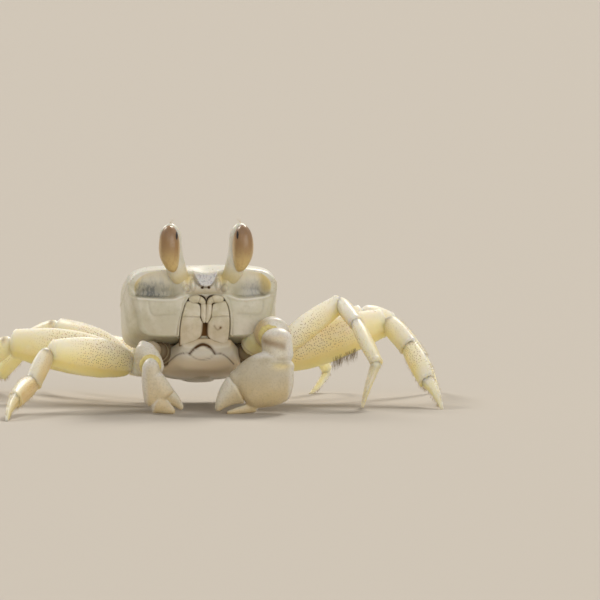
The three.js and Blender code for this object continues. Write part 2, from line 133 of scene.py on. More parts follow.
def swelling(start, full, end, at):
    """The value at the start, at its fullest, and at the end."""

    def value(t):
        rise = start + (full - start) * np.sin(np.pi / 2 * np.minimum(t / at, 1))
        fall = end + (full - end) * np.cos(np.pi / 2 * clamped((t - at) / (1 - at)))
        return np.where(t < at, rise, fall)

    return value


def swellings(high, wide, start, end, at, at_wide):
    """How a limb's half height and half width swell: shares at its ends, and where they are fullest."""
    return (
        swelling(start * high, high, end * high, at),
        swelling(start * wide, wide, end * wide, at_wide),
    )


def ripple(points, scale, seed=0):
    """A smooth random field from -1 to 1 at points, with features about scale millimetres across."""
    waves = np.random.default_rng(seed)
    total = np.zeros(len(points))
    for _ in range(14):
        direction = unit(waves.normal(size=3))
        length = scale * waves.uniform(0.7, 1.6)
        total += np.sin(points @ direction * 2 * np.pi / length + waves.uniform(0, 2 * np.pi))
    return total / 5


def distance_to(line, a, b):
    """From points (a, b) of a plane to a line of that plane."""
    best = np.full(np.shape(a), 1e9)
    for p, q in zip(line[:-1], line[1:]):
        along = q - p
        t = ((a - p[0]) * along[0] + (b - p[1]) * along[1]) / max(along @ along, 1e-12)
        t = clamped(t)
        best = np.minimum(best, np.hypot(a - p[0] - t * along[0], b - p[1] - t * along[1]))
    return best


class Path:
    """A curve in space, walked by its share of length from 0 to 1."""

    def __init__(self, points):
        self.points = np.array(points, float)
        steps = np.linalg.norm(np.diff(self.points, axis=0), axis=1)
        self.length = steps.sum()
        self.walked = np.concatenate([[0], np.cumsum(steps)]) / self.length

    def at(self, t):
        return np.stack([np.interp(t, self.walked, self.points[:, i]) for i in range(3)], -1)

    def tangent(self, t):
        step = 0.01
        return unit(self.at(np.minimum(t + step, 1)) - self.at(np.maximum(t - step, 0)))


def bowed(start, end, up, amount):
    start, end = np.array(start, float), np.array(end, float)
    middle = (start + end) / 2 + 2 * amount * np.asarray(up)
    t = np.linspace(0, 1, 60)[:, None]
    return Path((1 - t) ** 2 * start + 2 * t * (1 - t) * middle + t**2 * end)


def straight(start, end):
    return bowed(start, end, [0, 0, 1], 0)


# ---------------------------------------------------------------- materials
def rgb(code):
    """A display colour such as "d9d4bd" as the linear colour that shaders use."""
    parts = [int(code[i : i + 2], 16) / 255 for i in (0, 2, 4)]
    return [p / 12.92 if p <= 0.04045 else ((p + 0.055) / 1.055) ** 2.4 for p in parts] + [1]


class Shader:
    """A material made of nodes, with short names for those that this crab uses."""

    def __init__(self, name, roughness, scatter, scatter_radius, gloss=0.0):
        self.material = bpy.data.materials.new(name)
        self.material.use_nodes = True
        self.tree = self.material.node_tree
        self.surface = self.tree.nodes["Principled BSDF"]
        self.surface.inputs["Roughness"].default_value = roughness
        self.surface.inputs["Subsurface Weight"].default_value = scatter
        self.surface.inputs["Subsurface Radius"].default_value = (1.0, 0.72, 0.38)
        self.surface.inputs["Subsurface Scale"].default_value = scatter_radius * MM
        self.surface.inputs["Coat Weight"].default_value = gloss
        self.surface.inputs["Coat Roughness"].default_value = 0.18
        self.surface.inputs["IOR"].default_value = 1.5
        self.place = self.node("ShaderNodeTexCoord").outputs["Object"]

    def node(self, kind, **settings):
        made = self.tree.nodes.new(kind)
        for key, value in settings.items():
            if key in made.inputs:
                if isinstance(value, bpy.types.NodeSocket):
                    self.tree.links.new(value, made.inputs[key])
                else:
                    made.inputs[key].default_value = value
            else:
                setattr(made, key, value)
        return made

    def mask(self, name):
        """A value that the mesh holds at each vertex."""
        return self.node("ShaderNodeAttribute", attribute_name=name).outputs["Fac"]

    def math(self, operation, a, b=0.5, clamp=False):
        made = self.tree.nodes.new("ShaderNodeMath")
        made.operation = operation
        made.use_clamp = clamp
        for socket, value in zip(made.inputs, (a, b)):
            if isinstance(value, bpy.types.NodeSocket):
                self.tree.links.new(value, socket)
            else:
                socket.default_value = value
        return made.outputs[0]

    def step(self, value, low, high):
        """A soft step from 0 to 1, or back where low is above high."""
        made = self.node("ShaderNodeMapRange", interpolation_type="SMOOTHSTEP")
        for key, number in (("Value", value), ("From Min", low), ("From Max", high)):
            if isinstance(number, bpy.types.NodeSocket):
                self.tree.links.new(number, made.inputs[key])
            else:
                made.inputs[key].default_value = number
        return made.outputs["Result"]

    def noise(self, size, detail=3.0, stretch=(1, 1, 1), roughness=0.55):
        """Noise with features about size millimetres across."""
        place = self.node("ShaderNodeMapping", vector_type="POINT")
        self.tree.links.new(self.place, place.inputs["Vector"])
        place.inputs["Scale"].default_value = stretch
        made = self.node("ShaderNodeTexNoise", Scale=1 / (size * MM), Detail=detail, Roughness=roughness)
        self.tree.links.new(place.outputs["Vector"], made.inputs["Vector"])
        return made.outputs["Fac"]

    def dots(self, spacing, radius, softness=0.35, randomness=0.7):
        """1 inside dots of that spacing and radius, in millimetres, on the surface of a limb."""
        cells = self.node("ShaderNodeTexVoronoi", voronoi_dimensions="2D", Scale=1 / spacing)
        cells.inputs["Randomness"].default_value = randomness
        surface = self.node("ShaderNodeAttribute", attribute_name="surface")
        self.tree.links.new(surface.outputs["Vector"], cells.inputs["Vector"])
        edge = radius / spacing
        return self.step(cells.outputs["Distance"], edge * (1 + softness), edge * (1 - softness))

    def specks(self, spacing, radius):
        """1 inside a scatter of specks through space."""
        cells = self.node("ShaderNodeTexVoronoi", Scale=1 / (spacing * MM), Randomness=1.0)
        self.tree.links.new(self.place, cells.inputs["Vector"])
        return self.step(cells.outputs["Distance"], 1.3 * radius / spacing, 0.7 * radius / spacing)

    def mix(self, amount, first, second, blend="MIX"):
        made = self.node("ShaderNodeMix", data_type="RGBA", blend_type=blend)
        for key, value in (("Factor", amount), ("A", first), ("B", second)):
            socket = next(s for s in made.inputs if s.name == key and s.enabled)
            if isinstance(value, bpy.types.NodeSocket):
                self.tree.links.new(value, socket)
            else:
                socket.default_value = value
        return next(s for s in made.outputs if s.enabled)

    def tint(self, colour, amount, share, code):
        """The colour with a share of another where amount, or the mask of that name, is 1."""
        amount = self.mask(amount) if isinstance(amount, str) else amount
        return self.mix(self.math("MULTIPLY", amount, share, clamp=True), colour, rgb(code))

    def bump(self, height, depth, strength=1.0, under=None):
        made = self.node("ShaderNodeBump", Strength=strength, Distance=depth * MM)
        self.tree.links.new(height, made.inputs["Height"])
        if under is not None:
            self.tree.links.new(under, made.inputs["Normal"])
        return made.outputs["Normal"]

    def dull(self, amount, gloss):
        """Takes the shine off where amount is 1, as in a dark seam."""
        coat = self.math("MULTIPLY", self.math("SUBTRACT", 1.0, amount, clamp=True), gloss)
        self.tree.links.new(coat, self.surface.inputs["Coat Weight"])

    def finish(self, colour, normal=None, roughness=None):
        self.tree.links.new(colour, self.surface.inputs["Base Color"])
        if normal is not None:
            self.tree.links.new(normal, self.surface.inputs["Normal"])
        if roughness is not None:
            self.tree.links.new(roughness, self.surface.inputs["Roughness"])
        return self.material


def shell_material():
    """The body's shell: cream to grey-green, with dark seams, yellow margins and blue-grey orbits. It also
    carries painted light and shade: a painted shadow line over the mouth, painted glow in the orbit roofs,
    painted highlights on the top edge, painted fill light on the breastplate's front and painted shade under
    the face's edge.
    """
    s = Shader("body_shell", 0.42, 0.25, 1.6, gloss=0.12)
    cloud = s.noise(7.0, detail=4)
    fine = s.noise(0.9, detail=4)
    colour = s.mix(s.step(cloud, 0.36, 0.66), rgb("ccc8b3"), rgb("e0dccd"))
    colour = s.tint(colour, s.step(fine, 0.5, 0.78), 0.3, "b3ad90")
    # warm is the shell's own yellow, and in the orbit roofs it is also painted glow of light through the
    # shell.
    colour = s.tint(colour, "warm", 0.75, "e9d283")
    # moss and tan are the shell's own tones, and at the top of the breastplate they are also painted shade.
    colour = s.tint(colour, "moss", 0.7, "a79f76")
    colour = s.tint(colour, "tan", 0.55, "c3a67e")
    streak = s.step(s.noise(0.6, detail=3, stretch=(1, 1, 0.25)), 0.48, 0.6)
    hollow = s.mask("hollow")
    colour = s.tint(colour, hollow, 0.9, "97968a")
    colour = s.tint(colour, s.math("MULTIPLY", hollow, streak), 0.7, "5f6466")
    # pale is mostly the shell's own whitish tone; on the face's top edge it is painted highlight, and on the
    # breastplate's front partly painted fill light.
    colour = s.tint(colour, "pale", 0.85, "ecece6")
    # cream is used only on the breastplate's front: its own pale colour, lightened further as painted fill
    # light.
    colour = s.tint(colour, "cream", 0.7, "fbe6c2")
    granule = s.step(s.noise(0.5, detail=2), 0.48, 0.62)
    colour = s.tint(colour, "blue", 0.75, "d2d3d8")
    colour = s.tint(colour, s.math("MULTIPLY", s.mask("blue"), granule), 0.55, "a09fa8")
    colour = s.mix(s.mask("fold"), colour, rgb("5f5236"))
    speck = s.math("MULTIPLY", s.specks(0.6, 0.13), s.step(s.noise(3.2), 0.42, 0.6))
    colour = s.mix(s.math("MULTIPLY", speck, s.mask("specked")), colour, rgb("8d7c5c"))
    # The seam mask darkens real seams and also paints shadow: along the mouth frame's top edge and in the
    # left claw's crease.
    colour = s.mix(s.mask("seam_and_shade"), colour, rgb("54391a"))
    colour = s.mix(s.mask("gap"), colour, rgb("6f4d24"))
    dark = s.math("MAXIMUM", s.mask("seam_and_shade"), s.mask("gap"))
    s.dull(dark, 0.12)
    grain = s.bump(s.noise(0.28, detail=2), 0.05, 0.45)
    grain = s.bump(s.noise(2.4, detail=3), 0.12, 0.3, under=grain)
    return s.finish(colour, grain, s.math("MAXIMUM", s.step(fine, -0.9, 2.4), dark))


def leg_material():
    """Walking legs: translucent straw yellow, whitish along the upper edge, with brown dots."""
    s = Shader("leg_shell", 0.5, 0.9, 7.0)
    s.surface.inputs["Subsurface Radius"].default_value = (1.0, 0.85, 0.52)
    s.surface.inputs["Specular IOR Level"].default_value = 0.3
    cloud = s.noise(5.0, detail=4)
    fine = s.noise(0.8, detail=3)
    colour = s.mix(s.step(cloud, 0.35, 0.68), rgb("faeabe"), rgb("fcf0d8"))
    colour = s.tint(colour, "golden", 0.85, "fddf98")
    colour = s.tint(colour, "pale", 0.9, "f3eee2")
    colour = s.tint(colour, "tan", 0.75, "c6ad7c")
    colour = s.tint(colour, s.step(fine, 0.5, 0.8), 0.2, "d9caa0")
    dots = s.math("MULTIPLY", s.dots(0.62, 0.12), s.mask("dotted"))
    dots = s.math("MULTIPLY", dots, s.step(s.noise(1.6), 0.3, 0.46))
    colour = s.tint(colour, dots, 0.7, "8c6c40")
    colour = s.tint(colour, "smudge", 0.7, "77726a")
    colour = s.mix(s.mask("seam_and_shade"), colour, rgb("a3875a"))
    grain = s.bump(s.noise(0.3, detail=2), 0.045, 0.5)
    return s.finish(colour, grain, s.step(fine, -0.9, 2.6))


def claw_material():
    """Claws: whitish beige, set all over with fine granules; warmer below as painted shade, and paler on the
    upper and outer faces as painted light and painted rim light.
    """
    s = Shader("claw_shell", 0.45, 0.22, 1.4, gloss=0.12)
    cloud = s.noise(5.5, detail=4)
    fine = s.noise(0.7, detail=3)
    colour = s.mix(s.step(cloud, 0.35, 0.68), rgb("cdc2a4"), rgb("dfd8c4"))
    # On the claws, warm is painted shade on the low faces, and pale is painted light on the upward faces and
    # painted rim light on the outer side, each mixed with the claws' own tones.
    colour = s.tint(colour, "warm", 0.75, "d6bd88")
    colour = s.tint(colour, "pale", 0.85, "eceae6")
    colour = s.tint(colour, "grey", 0.55, "b9b09c")
    colour = s.tint(colour, "yellow", 0.6, "ead896")
    granule = s.math("MULTIPLY", s.step(s.noise(0.45, detail=2), 0.5, 0.66), 0.16)
    colour = s.mix(granule, colour, rgb("8f8672"))
    colour = s.tint(colour, s.step(fine, 0.52, 0.8), 0.35, "a89c7c")
    colour = s.mix(s.mask("seam_and_shade"), colour, rgb("8a632f"))
    granules = s.node("ShaderNodeTexVoronoi", Scale=1 / (0.42 * MM), Randomness=0.9)
    s.tree.links.new(s.place, granules.inputs["Vector"])
    grain = s.bump(granules.outputs["Distance"], -0.06, 0.5)
    return s.finish(colour, grain, s.step(fine, -0.9, 2.4))


def mouth_material():
    """The outer mouthparts: cream plates, brown along their joints."""
    s = Shader("mouthpart_shell", 0.42, 0.2, 1.2, gloss=0.12)
    cloud = s.noise(3.5, detail=4)
    fine = s.noise(0.7, detail=3)
    colour = s.mix(s.step(cloud, 0.35, 0.68), rgb("c8c0a4"), rgb("dcd5c2"))
    colour = s.tint(colour, "tan", 0.5, "bfa27a")
    colour = s.tint(colour, s.step(fine, 0.52, 0.8), 0.3, "a99f80")
    colour = s.mix(s.mask("seam_and_shade"), colour, rgb("6a4c26"))
    s.dull(s.mask("seam_and_shade"), 0.12)
    grain = s.bump(s.noise(0.3, detail=2), 0.045, 0.45)
    return s.finish(colour, grain, s.math("MAXIMUM", s.step(fine, -0.9, 2.4), s.mask("seam_and_shade")))


def cornea_material():
    """Moist tan corneas: brown above, golden below, with a dark upright slit."""
    s = Shader("cornea", 0.34, 0.2, 1.0, gloss=0.35)
    s.surface.inputs["Subsurface Radius"].default_value = (1.0, 0.85, 0.55)
    fine = s.noise(0.6, detail=3)
    height = s.mask("height")
    colour = s.mix(s.step(height, 0.1, 0.62), rgb("d6bc80"), rgb("a08058"))
    colour = s.tint(colour, s.step(height, 0.6, 0.9), 0.8, "967a62")
    streaks = s.noise(0.9, detail=3, stretch=(1, 1, 0.25))
    colour = s.tint(colour, s.step(streaks, 0.45, 0.7), 0.35, "a67c4c")
    # rim lightens the cornea's left and right edges as painted rim light.
    colour = s.tint(colour, "rim", 0.6, "ecd2a6")
    colour = s.tint(colour, s.step(fine, 0.45, 0.8), 0.25, "93714d")
    colour = s.mix(s.mask("slit"), colour, rgb("120c08"))
    facets = s.node("ShaderNodeTexVoronoi", Scale=1 / (0.12 * MM), Randomness=0.15)
    s.tree.links.new(s.place, facets.inputs["Vector"])
    return s.finish(colour, s.bump(facets.outputs["Distance"], -0.01, 0.25))


def plain_material(name, code, darker, roughness=0.5, scatter=0.2, size=0.6):
    s = Shader(name, roughness, scatter, 0.8)
    grain = s.noise(size, detail=3)
    colour = s.mix(s.step(grain, 0.35, 0.75), rgb(code), rgb(darker))
    return s.finish(colour, s.bump(grain, 0.05, 0.4))


SHELL = shell_material()
LEG = leg_material()
CLAW = claw_material()
MOUTH = mouth_material()
CORNEA = cornea_material()
MEMBRANE = plain_material("joint_membrane", "e6d892", "d2bf7e", 0.5, 0.3)
BRISTLE = plain_material("bristle", "a08a62", "7a6542", 0.5, 0.0)
PALE_BRISTLE = plain_material("pale_bristle", "e8dcc0", "d8c8a2", 0.5, 0.0)


# ---------------------------------------------------------------- meshes
def in_scene(name, data):
    """A new object in the scene for a mesh, a lamp or a camera."""
    made = bpy.data.objects.new(name, data)
    bpy.context.scene.collection.objects.link(made)
    return made


def piece(name, points, faces, material, nodes=(), masks=None):
    """One visible piece of the crab, from points in the crab's frame."""
    mesh = bpy.data.meshes.new(name)
    placed = (np.asarray(points) + SHIFT) * MM
    placed[:, 2] = np.maximum(placed[:, 2], 0)
    mesh.from_pydata(placed.tolist(), [], faces)
    mesh.validate()
    for key, values in (masks or {}).items():
        values = np.asarray(values, np.float32)
        if values.ndim == 2:
            layer = mesh.attributes.new(key, "FLOAT_VECTOR", "POINT")
            layer.data.foreach_set("vector", values.reshape(-1))
        else:
            layer = mesh.attributes.new(key, "FLOAT", "POINT")
            layer.data.foreach_set("value", values)
    mesh.polygons.foreach_set("use_smooth", np.ones(len(mesh.polygons), bool))
    mesh.materials.append(material)
    made = in_scene(name, mesh)
    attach(made, "root")
    if nodes:
        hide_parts(*nodes)
    return made


def cover(stem, part, limb, material, masks):
    """A limb as the visible shell of the node that its name states."""
    piece(f"{stem}{part}_shell", limb.points, limb.faces, material, [stem + part], masks)


def tube_faces(rings, sides):
    """Faces of a closed tube: a pole, rings of points, and the other pole."""
    faces = []
    last = 1 + rings * sides
    for j in range(sides):
        k = (j + 1) % sides
        faces.append((0, 1 + k, 1 + j))
        faces.append((last, last - sides + j, last - sides + k))
        for i in range(rings - 1):
            a = 1 + i * sides
            faces.append((a + j, a + k, a + sides + k, a + sides + j))
    return faces


class Limb:
    """A closed tube with round ends along a path. keel sharpens its upper and lower edges."""

    def __init__(
        self, path, up, height, width, dome, end_dome=None, rings=70, sides=36, keel=0.0, square=1.0
    ):
        end_dome = end_dome or dome
        turn = np.linspace(0, 1, rings + 2)
        along = turn - 0.8 * np.sin(2 * np.pi * turn) / (2 * np.pi)
        walked = along * path.length
        left = path.length - walked
        full = np.minimum(
            np.where(walked < dome, np.sqrt(np.maximum(0, 1 - (1 - walked / dome) ** 2)), 1),
            np.where(left < end_dome, np.sqrt(np.maximum(0, 1 - (1 - left / end_dome) ** 2)), 1),
        )
        axis = path.tangent(along)
        side = unit(np.cross(np.asarray(up, float), axis))
        rises = np.cross(axis, side)
        angle = np.linspace(0, 2 * np.pi, sides, endpoint=False)
        cross = signed_power(np.cos(angle), square + keel)
        rise = signed_power(np.sin(angle), square)
        middle = path.at(along)
        out = (
            side[:, None] * (cross * (width(along) * full)[:, None])[..., None]
            + rises[:, None] * (rise * (height(along) * full)[:, None])[..., None]
        )
        points = middle[:, None] + out
        ringed = slice(1, rings + 1)

        def spread(first, body, final):
            return np.concatenate([[first], np.asarray(body).reshape(-1), [final]])

        self.points = np.vstack([middle[:1], points[ringed].reshape(-1, 3), middle[-1:]])
        self.out = np.vstack([-axis[:1], unit(out[ringed].reshape(-1, 3) + 1e-9), axis[-1:]])
        self.along = spread(0, np.repeat(along[ringed], sides), 1)
        self.rise = spread(0, np.tile(rise, rings), 0)
        self.cross = spread(0, np.tile(cross, rings), 0)
        self.faces = tube_faces(rings, sides)
        self.path = path
        self.length = path.length
        # Millimetres along the limb and up its flat side, for patterns that lie on the surface.
        tall = height(self.along) * self.rise
        self.surface = np.column_stack([self.along * self.length, tall, np.zeros(len(tall))])

    def push(self, amount):
        """Moves the surface outwards by amount at each point."""
        self.points = self.points + self.out * np.asarray(amount)[:, None]

    def above_floor(self):
        self.points[:, 2] = np.maximum(self.points[:, 2], 0)
        return self


# ---------------------------------------------------------------- walking legs
def direction(side, yaw, pitch):
    yaw, pitch = math.radians(yaw), math.radians(pitch)
    return np.array(
        [side * math.cos(pitch) * math.cos(yaw), -math.cos(pitch) * math.sin(yaw), math.sin(pitch)]
    )


def carried(up, before, after):
    """up, turned as the hinge between two segments turns."""
    turn = Vector(before).rotation_difference(Vector(after))
    return np.array(turn @ Vector(up))


def leg_skeleton(pair, side, hip, lean, yaw, pitch):
    """The joints, axes and upward directions of a leg's four long segments."""
    joints = [np.array([side * hip[0], hip[1], hip[2]], float)]
    axes = []
    for i, length in enumerate(LEG_LENGTHS[pair]):
        down = -math.degrees(math.asin(min(1, (joints[i][2] + TIP_SINK) / length)))
        axes.append(direction(side, yaw[i], pitch[i] if i < len(pitch) else down))
        joints.append(joints[i] + axes[i] * length)
    level = np.array([0, 0, 1]) - axes[0] * axes[0][2]
    tip = Matrix.Rotation(math.radians(side * lean), 3, Vector(axes[0]))
    ups = [np.array(tip @ Vector(unit(level)))]
    for i in range(1, 4):
        ups.append(carried(ups[i - 1], axes[i - 1], axes[i]))
    return joints, axes, ups


def serration(limb, pitch, depth, edge=0.93):
    """Small teeth along the upper and lower edges."""
    walked = limb.along * limb.length
    wave = np.abs(((walked / pitch) % 1) - 0.35) * 2
    return depth * (1 - np.minimum(wave, 1)) * smooth(edge, 1, np.abs(limb.rise))


def leg_masks(limb, front, joint, dotted=0.0, golden=0.0, pale=0.0, tan=0.0):
    """What the leg material reads: where dots, gold, pale edges and joint smudges lie."""
    facing = front * limb.cross
    walked = limb.along * limb.length
    inner = smooth(0.03, 0.14, limb.along) * (1 - smooth(0.5, 0.88, limb.along))
    smudge = hump(walked - 1.6, 0.7) * hump(limb.rise - 0.8, 0.4) * joint
    return {
        "surface": limb.surface,
        "dotted": dotted * smooth(0.1, 0.45, facing) * smooth(-0.55, -0.2, limb.rise) * inner,
        "golden": golden * smooth(0.05, -0.6, limb.rise),
        "pale": pale * smooth(-0.2, 0.9, limb.rise),
        "smudge": smudge,
        "tan": tan * smooth(1.0, 0.2, limb.rise),
        "seam_and_shade": np.zeros(len(limb.points)),
    }


bristles = {"dark": [], "pale": []}
bristled = []  # the limbs that carry bristles, each a strip of the bristles' map


def fringe(kind, limb, count, start, end, rise, length, spread=0.5, lie=0.5, thickness=0.05, seed=1):
    """Roots and directions of bristles along one edge of a limb."""
    draw = np.random.default_rng(seed)
    if not any(limb is other for other in bristled):
        bristled.append(limb)
    strip = next(i for i, other in enumerate(bristled) if other is limb)
    chosen = np.flatnonzero(
        (limb.along > start) & (limb.along < end) & (np.abs(limb.rise - rise) < 0.12)
    )
    for index in draw.choice(chosen, count):
        tangent = limb.path.tangent(limb.along[index])
        way = limb.out[index] + lie * tangent + spread * draw.normal(size=3) * 0.5
        turn = math.atan2(limb.rise[index], limb.cross[index]) / (2 * math.pi) % 1
        long = length * draw.uniform(0.6, 1.1)
        on_map = (strip, limb.along[index], turn)
        bristles[kind].append((limb.points[index], unit(way), long, thickness, on_map))


def walking_leg(pair, side_name, hip, lean, yaw, pitch):
    side = SIDES[side_name]
    front = -side
    k = LEG_SCALE[pair]
    half = MERUS_HALF_HEIGHT[pair]
    joints, axes, ups = leg_skeleton(pair, side, hip, lean, yaw, pitch)
    inside = np.array([side * (hip[0] - 7.5), hip[1] - 0.2, hip[2] - 0.4])
    stem = f"leg{pair}_{side_name}_"
    smudged = 1.0 if (pair, side_name) in SMUDGED else 0.25
    tanned = TANNED.get((pair, side_name), 0.0)

    base = Limb(
        straight(inside, joints[0] + axes[0] * 0.8),
        [0, 0, 1],
        swelling(2.6 * k, 2.7 * k, 2.3 * k, 0.5),
        swelling(2.5 * k, 2.4 * k, 1.9 * k, 0.4),
        1.0,
        1.2,
    )
    walked = base.along * base.length
    base.push(-0.28 * k * hump(walked - 3.2, 0.35) - 0.2 * k * hump(walked - 5.6, 0.3))
    masks = leg_masks(base, front, 0, pale=0.5)
    masks["seam_and_shade"] = 0.55 * hump(walked - 3.2, 0.28) + 0.4 * hump(walked - 5.6, 0.25)
    cover(stem, "base", base, LEG, masks)

    merus = Limb(
        bowed(joints[0] - axes[0] * 0.3, joints[1] + axes[0] * 0.3, ups[0], 0.5),
        ups[0],
        swelling(0.5 * half, half, 0.6 * half, 0.45),
        swelling(1.7 * k, 2.1 * k, 1.7 * k, 0.5),
        1.8,
        1.3,
        rings=150,
        sides=44,
        keel=0.35,
    )
    facing = front * merus.cross
    ridge = hump(merus.rise + 0.42, 0.12) * smooth(0.1, 0.5, facing)
    hollow = smooth(-0.4, -0.95, merus.rise) * smooth(0.05, 0.5, facing)
    collar = hump((1 - merus.along) * merus.length - 1.0, 0.5)
    merus.push(
        0.22 * k * ridge - 0.25 * k * hollow + 0.12 * k * collar
        + serration(merus, 0.85, 0.13 * k) + 0.05 * ripple(merus.points, 3.5, pair)
    )
    masks = leg_masks(merus, front, 0.0, dotted=1.0, golden=0.9, pale=0.95)
    cover(stem, "merus", merus, LEG, masks)

    carpus = Limb(
        bowed(joints[1] - axes[1] * 0.7, joints[2] + axes[1] * 0.5, ups[1], 0.3),
        ups[1],
        swelling(1.8 * k, 2.45 * k, 2.3 * k, 0.5),
        swelling(1.45 * k, 1.95 * k, 1.75 * k, 0.5),
        1.8,
        0.7,
        keel=0.15,
    )
    carpus.push(
        0.14 * k * hump((1 - carpus.along) * carpus.length - 0.8, 0.45)
        + serration(carpus, 0.7, 0.08 * k) - 0.12 * k * hump(carpus.rise - 0.35, 0.2)
    )
    masks = leg_masks(carpus, front, smudged, dotted=0.3, golden=0.3, pale=1.0, tan=0.7 * tanned)
    cover(stem, "carpus", carpus, LEG, masks)

    propodus = Limb(
        bowed(joints[2] - axes[2] * 0.9, joints[3] + axes[2] * 0.4, ups[2], 0.3),
        ups[2],
        swelling(1.85 * k, 2.5 * k, 2.0 * k, 0.5),
        swelling(1.35 * k, 1.8 * k, 1.45 * k, 0.4),
        1.6,
        0.7,
        keel=0.2,
    )
    propodus.push(
        serration(propodus, 0.7, 0.1 * k)
        - 0.16 * k * hump(propodus.rise, 0.22)
        + 0.1 * k * hump((1 - propodus.along) * propodus.length - 0.7, 0.4)
    )
    masks = leg_masks(propodus, front, 0.8 * smudged, dotted=0.9, golden=0.6, pale=0.6, tan=tanned)
    cover(stem, "propodus", propodus, LEG, masks)

    dactylus = Limb(
        bowed(joints[3] - axes[3] * 0.7, joints[4], ups[3], 0.7),
        ups[3],
        lambda t: 1.75 * k + (TIP_RADIUS - 1.75 * k) * t**1.25,
        lambda t: 1.3 * k + (TIP_RADIUS - 1.3 * k) * t**1.1,
        1.2,
        0.4,
        keel=0.1,
    )
    flute = np.cos(6 * np.arctan2(dactylus.rise, dactylus.cross))
    dactylus.push(0.09 * k * (flute - 1) * (1 - dactylus.along) ** 0.5 * smooth(0.03, 0.12, dactylus.along))
    dactylus.above_floor()
    masks = leg_masks(dactylus, front, 0.5 * smudged, dotted=0.2, golden=0.7, pale=0.3, tan=tanned)
    masks["golden"] = np.maximum(masks["golden"], 0.8 * smooth(0.3, 1, dactylus.along))
    cover(stem, "dactylus", dactylus, LEG, masks)

    seed = 10 * pair + (side > 0)
    longest = 1.1 if side > 0 else 0.75
    fringes = [  # limb, count, start, end, edge, length
        (propodus, 60, 0.15, 0.98, 0.97, longest),
        (propodus, 60, 0.15, 0.98, -0.97, 0.75),
        (dactylus, 70, 0.08, 0.85, 0.97, 0.85),
        (dactylus, 70, 0.08, 0.85, -0.97, 0.85),
        (carpus, 20, 0.3, 0.95, 0.97, 0.5),
        (merus, 60, 0.1, 0.95, 0.98, 0.35),
    ]
    for i, (limb, count, start, end, edge, length) in enumerate(fringes):
        fringe("pale", limb, count, start, end, edge, length * k, seed=seed + i)
    if (pair, side_name) in BRUSHED:
        fringe(
            "dark", merus, 150, 0.5, 0.72, -0.95, 2.3,
            spread=0.35, lie=-0.35, thickness=0.04, seed=seed + len(fringes),
        )


for leg in LEGS:
    walking_leg(*leg)


# ---------------------------------------------------------------- claws
# The left claw, then the right: points, and half heights and half widths.
CLAW_SHAPES = {
    "shoulder": ([9.2, -8.2, 12.7], [-9.0, -7.6, 12.7]),
    "merus_start": ([9.9, -12.0, 13.2], [-10.9, -12.2, 13.5]),
    "knee": ([13.4, -15.2, 18.2], [-14.0, -15.8, 14.0]),
    "carpus_start": ([14.2, -15.8, 18.8], [-15.2, -17.5, 16.4]),
    "wrist": ([15.6, -21.0, 17.2], [-12.4, -19.8, 8.0]),
    "neck_start": ([15.3, -23.2, 19.6], [-13.4, -21.6, 9.6]),
    "palm_start": ([19.4, -24.6, 8.9], [-13.6, -22.8, 12.9]),
    "palm_end": ([6.4, -25.3, 4.8], [-13.4, -23.8, 1.6]),
    "finger_start": ([6.6, -25.3, 5.9], [-11.8, -23.8, 5.6]),
    "finger_tip": ([1.3, -25.6, 0.7], [-6.3, -23.6, 1.0]),
    "fixed_start": ([11.0, -25.0, 1.6], [-12.9, -24.2, 3.0]),
    "fixed_tip": ([3.6, -26.2, 0.25], [-8.0, -24.6, 0.3]),
    "base_half": (3.1, 3.2),
    "merus_half": ([2.1, 3.4, 3.3], [1.7, 2.4, 1.9]),
    "carpus_half": ([4.1, 3.9], [3.1, 2.4]),
    "carpus_narrow": (0.9, 0.45),
    "palm_half": ([6.4, 3.4], [2.2, 2.1]),
    "palm_bow": (0.9, 0),
    "neck_half": (3.6, 1.9),
    "knuckle_start": ([9.4, -25.2, 8.6], [-13.2, -23.4, 9.3]),
    "knuckle_end": ([4.4, -25.2, 7.6], [-10.4, -23.8, 3.2]),
    "knuckle_half": ([2.1, 2.1, 2.1], [2.0, 3.1, 2.0]),
    "finger_half": ([4.1, 2.3], [2.7, 1.6]),
    "fixed_half": ([1.4, 1.2], [3.0, 1.9]),
    "membrane": ([14.1, -20.9, 17.6], [-13.5, -21.3, 11.0]),
    "membrane_half": ([2.5, 0.9, 2.9], [2.6, 1.2, 2.7]),
}
CLAWS = {
    side_name: {key: pair[i] for key, pair in CLAW_SHAPES.items()}
    for i, side_name in enumerate(("left", "right"))
}


def constant(value):
    return lambda t: np.full(np.shape(t), float(value))


def merged(name, limbs, voxel, rounds):
    """One smooth surface round several limbs: its points and faces."""
    points, faces, first = [], [], 0
    for limb in limbs:
        points.append(limb.points)
        faces += [tuple(first + i for i in face) for face in limb.faces]
        first += len(limb.points)
    mesh = bpy.data.meshes.new(name)
    mesh.from_pydata(np.vstack(points).tolist(), [], faces)
    shape = in_scene(name, mesh)
    remesh = shape.modifiers.new("union", "REMESH")
    remesh.mode = "VOXEL"
    remesh.voxel_size = voxel
    relax = shape.modifiers.new("relax", "SMOOTH")
    relax.factor = 0.5
    relax.iterations = rounds
    made = shape.evaluated_get(bpy.context.evaluated_depsgraph_get()).to_mesh()
    co = np.zeros(len(made.vertices) * 3)
    made.vertices.foreach_get("co", co)
    normals = np.zeros(len(made.vertices) * 3)
    made.vertices.foreach_get("normal", normals)
    found = [tuple(p.vertices) for p in made.polygons]
    bpy.data.objects.remove(shape)
    bpy.data.meshes.remove(mesh)
    return co.reshape(-1, 3), normals.reshape(-1, 3), found


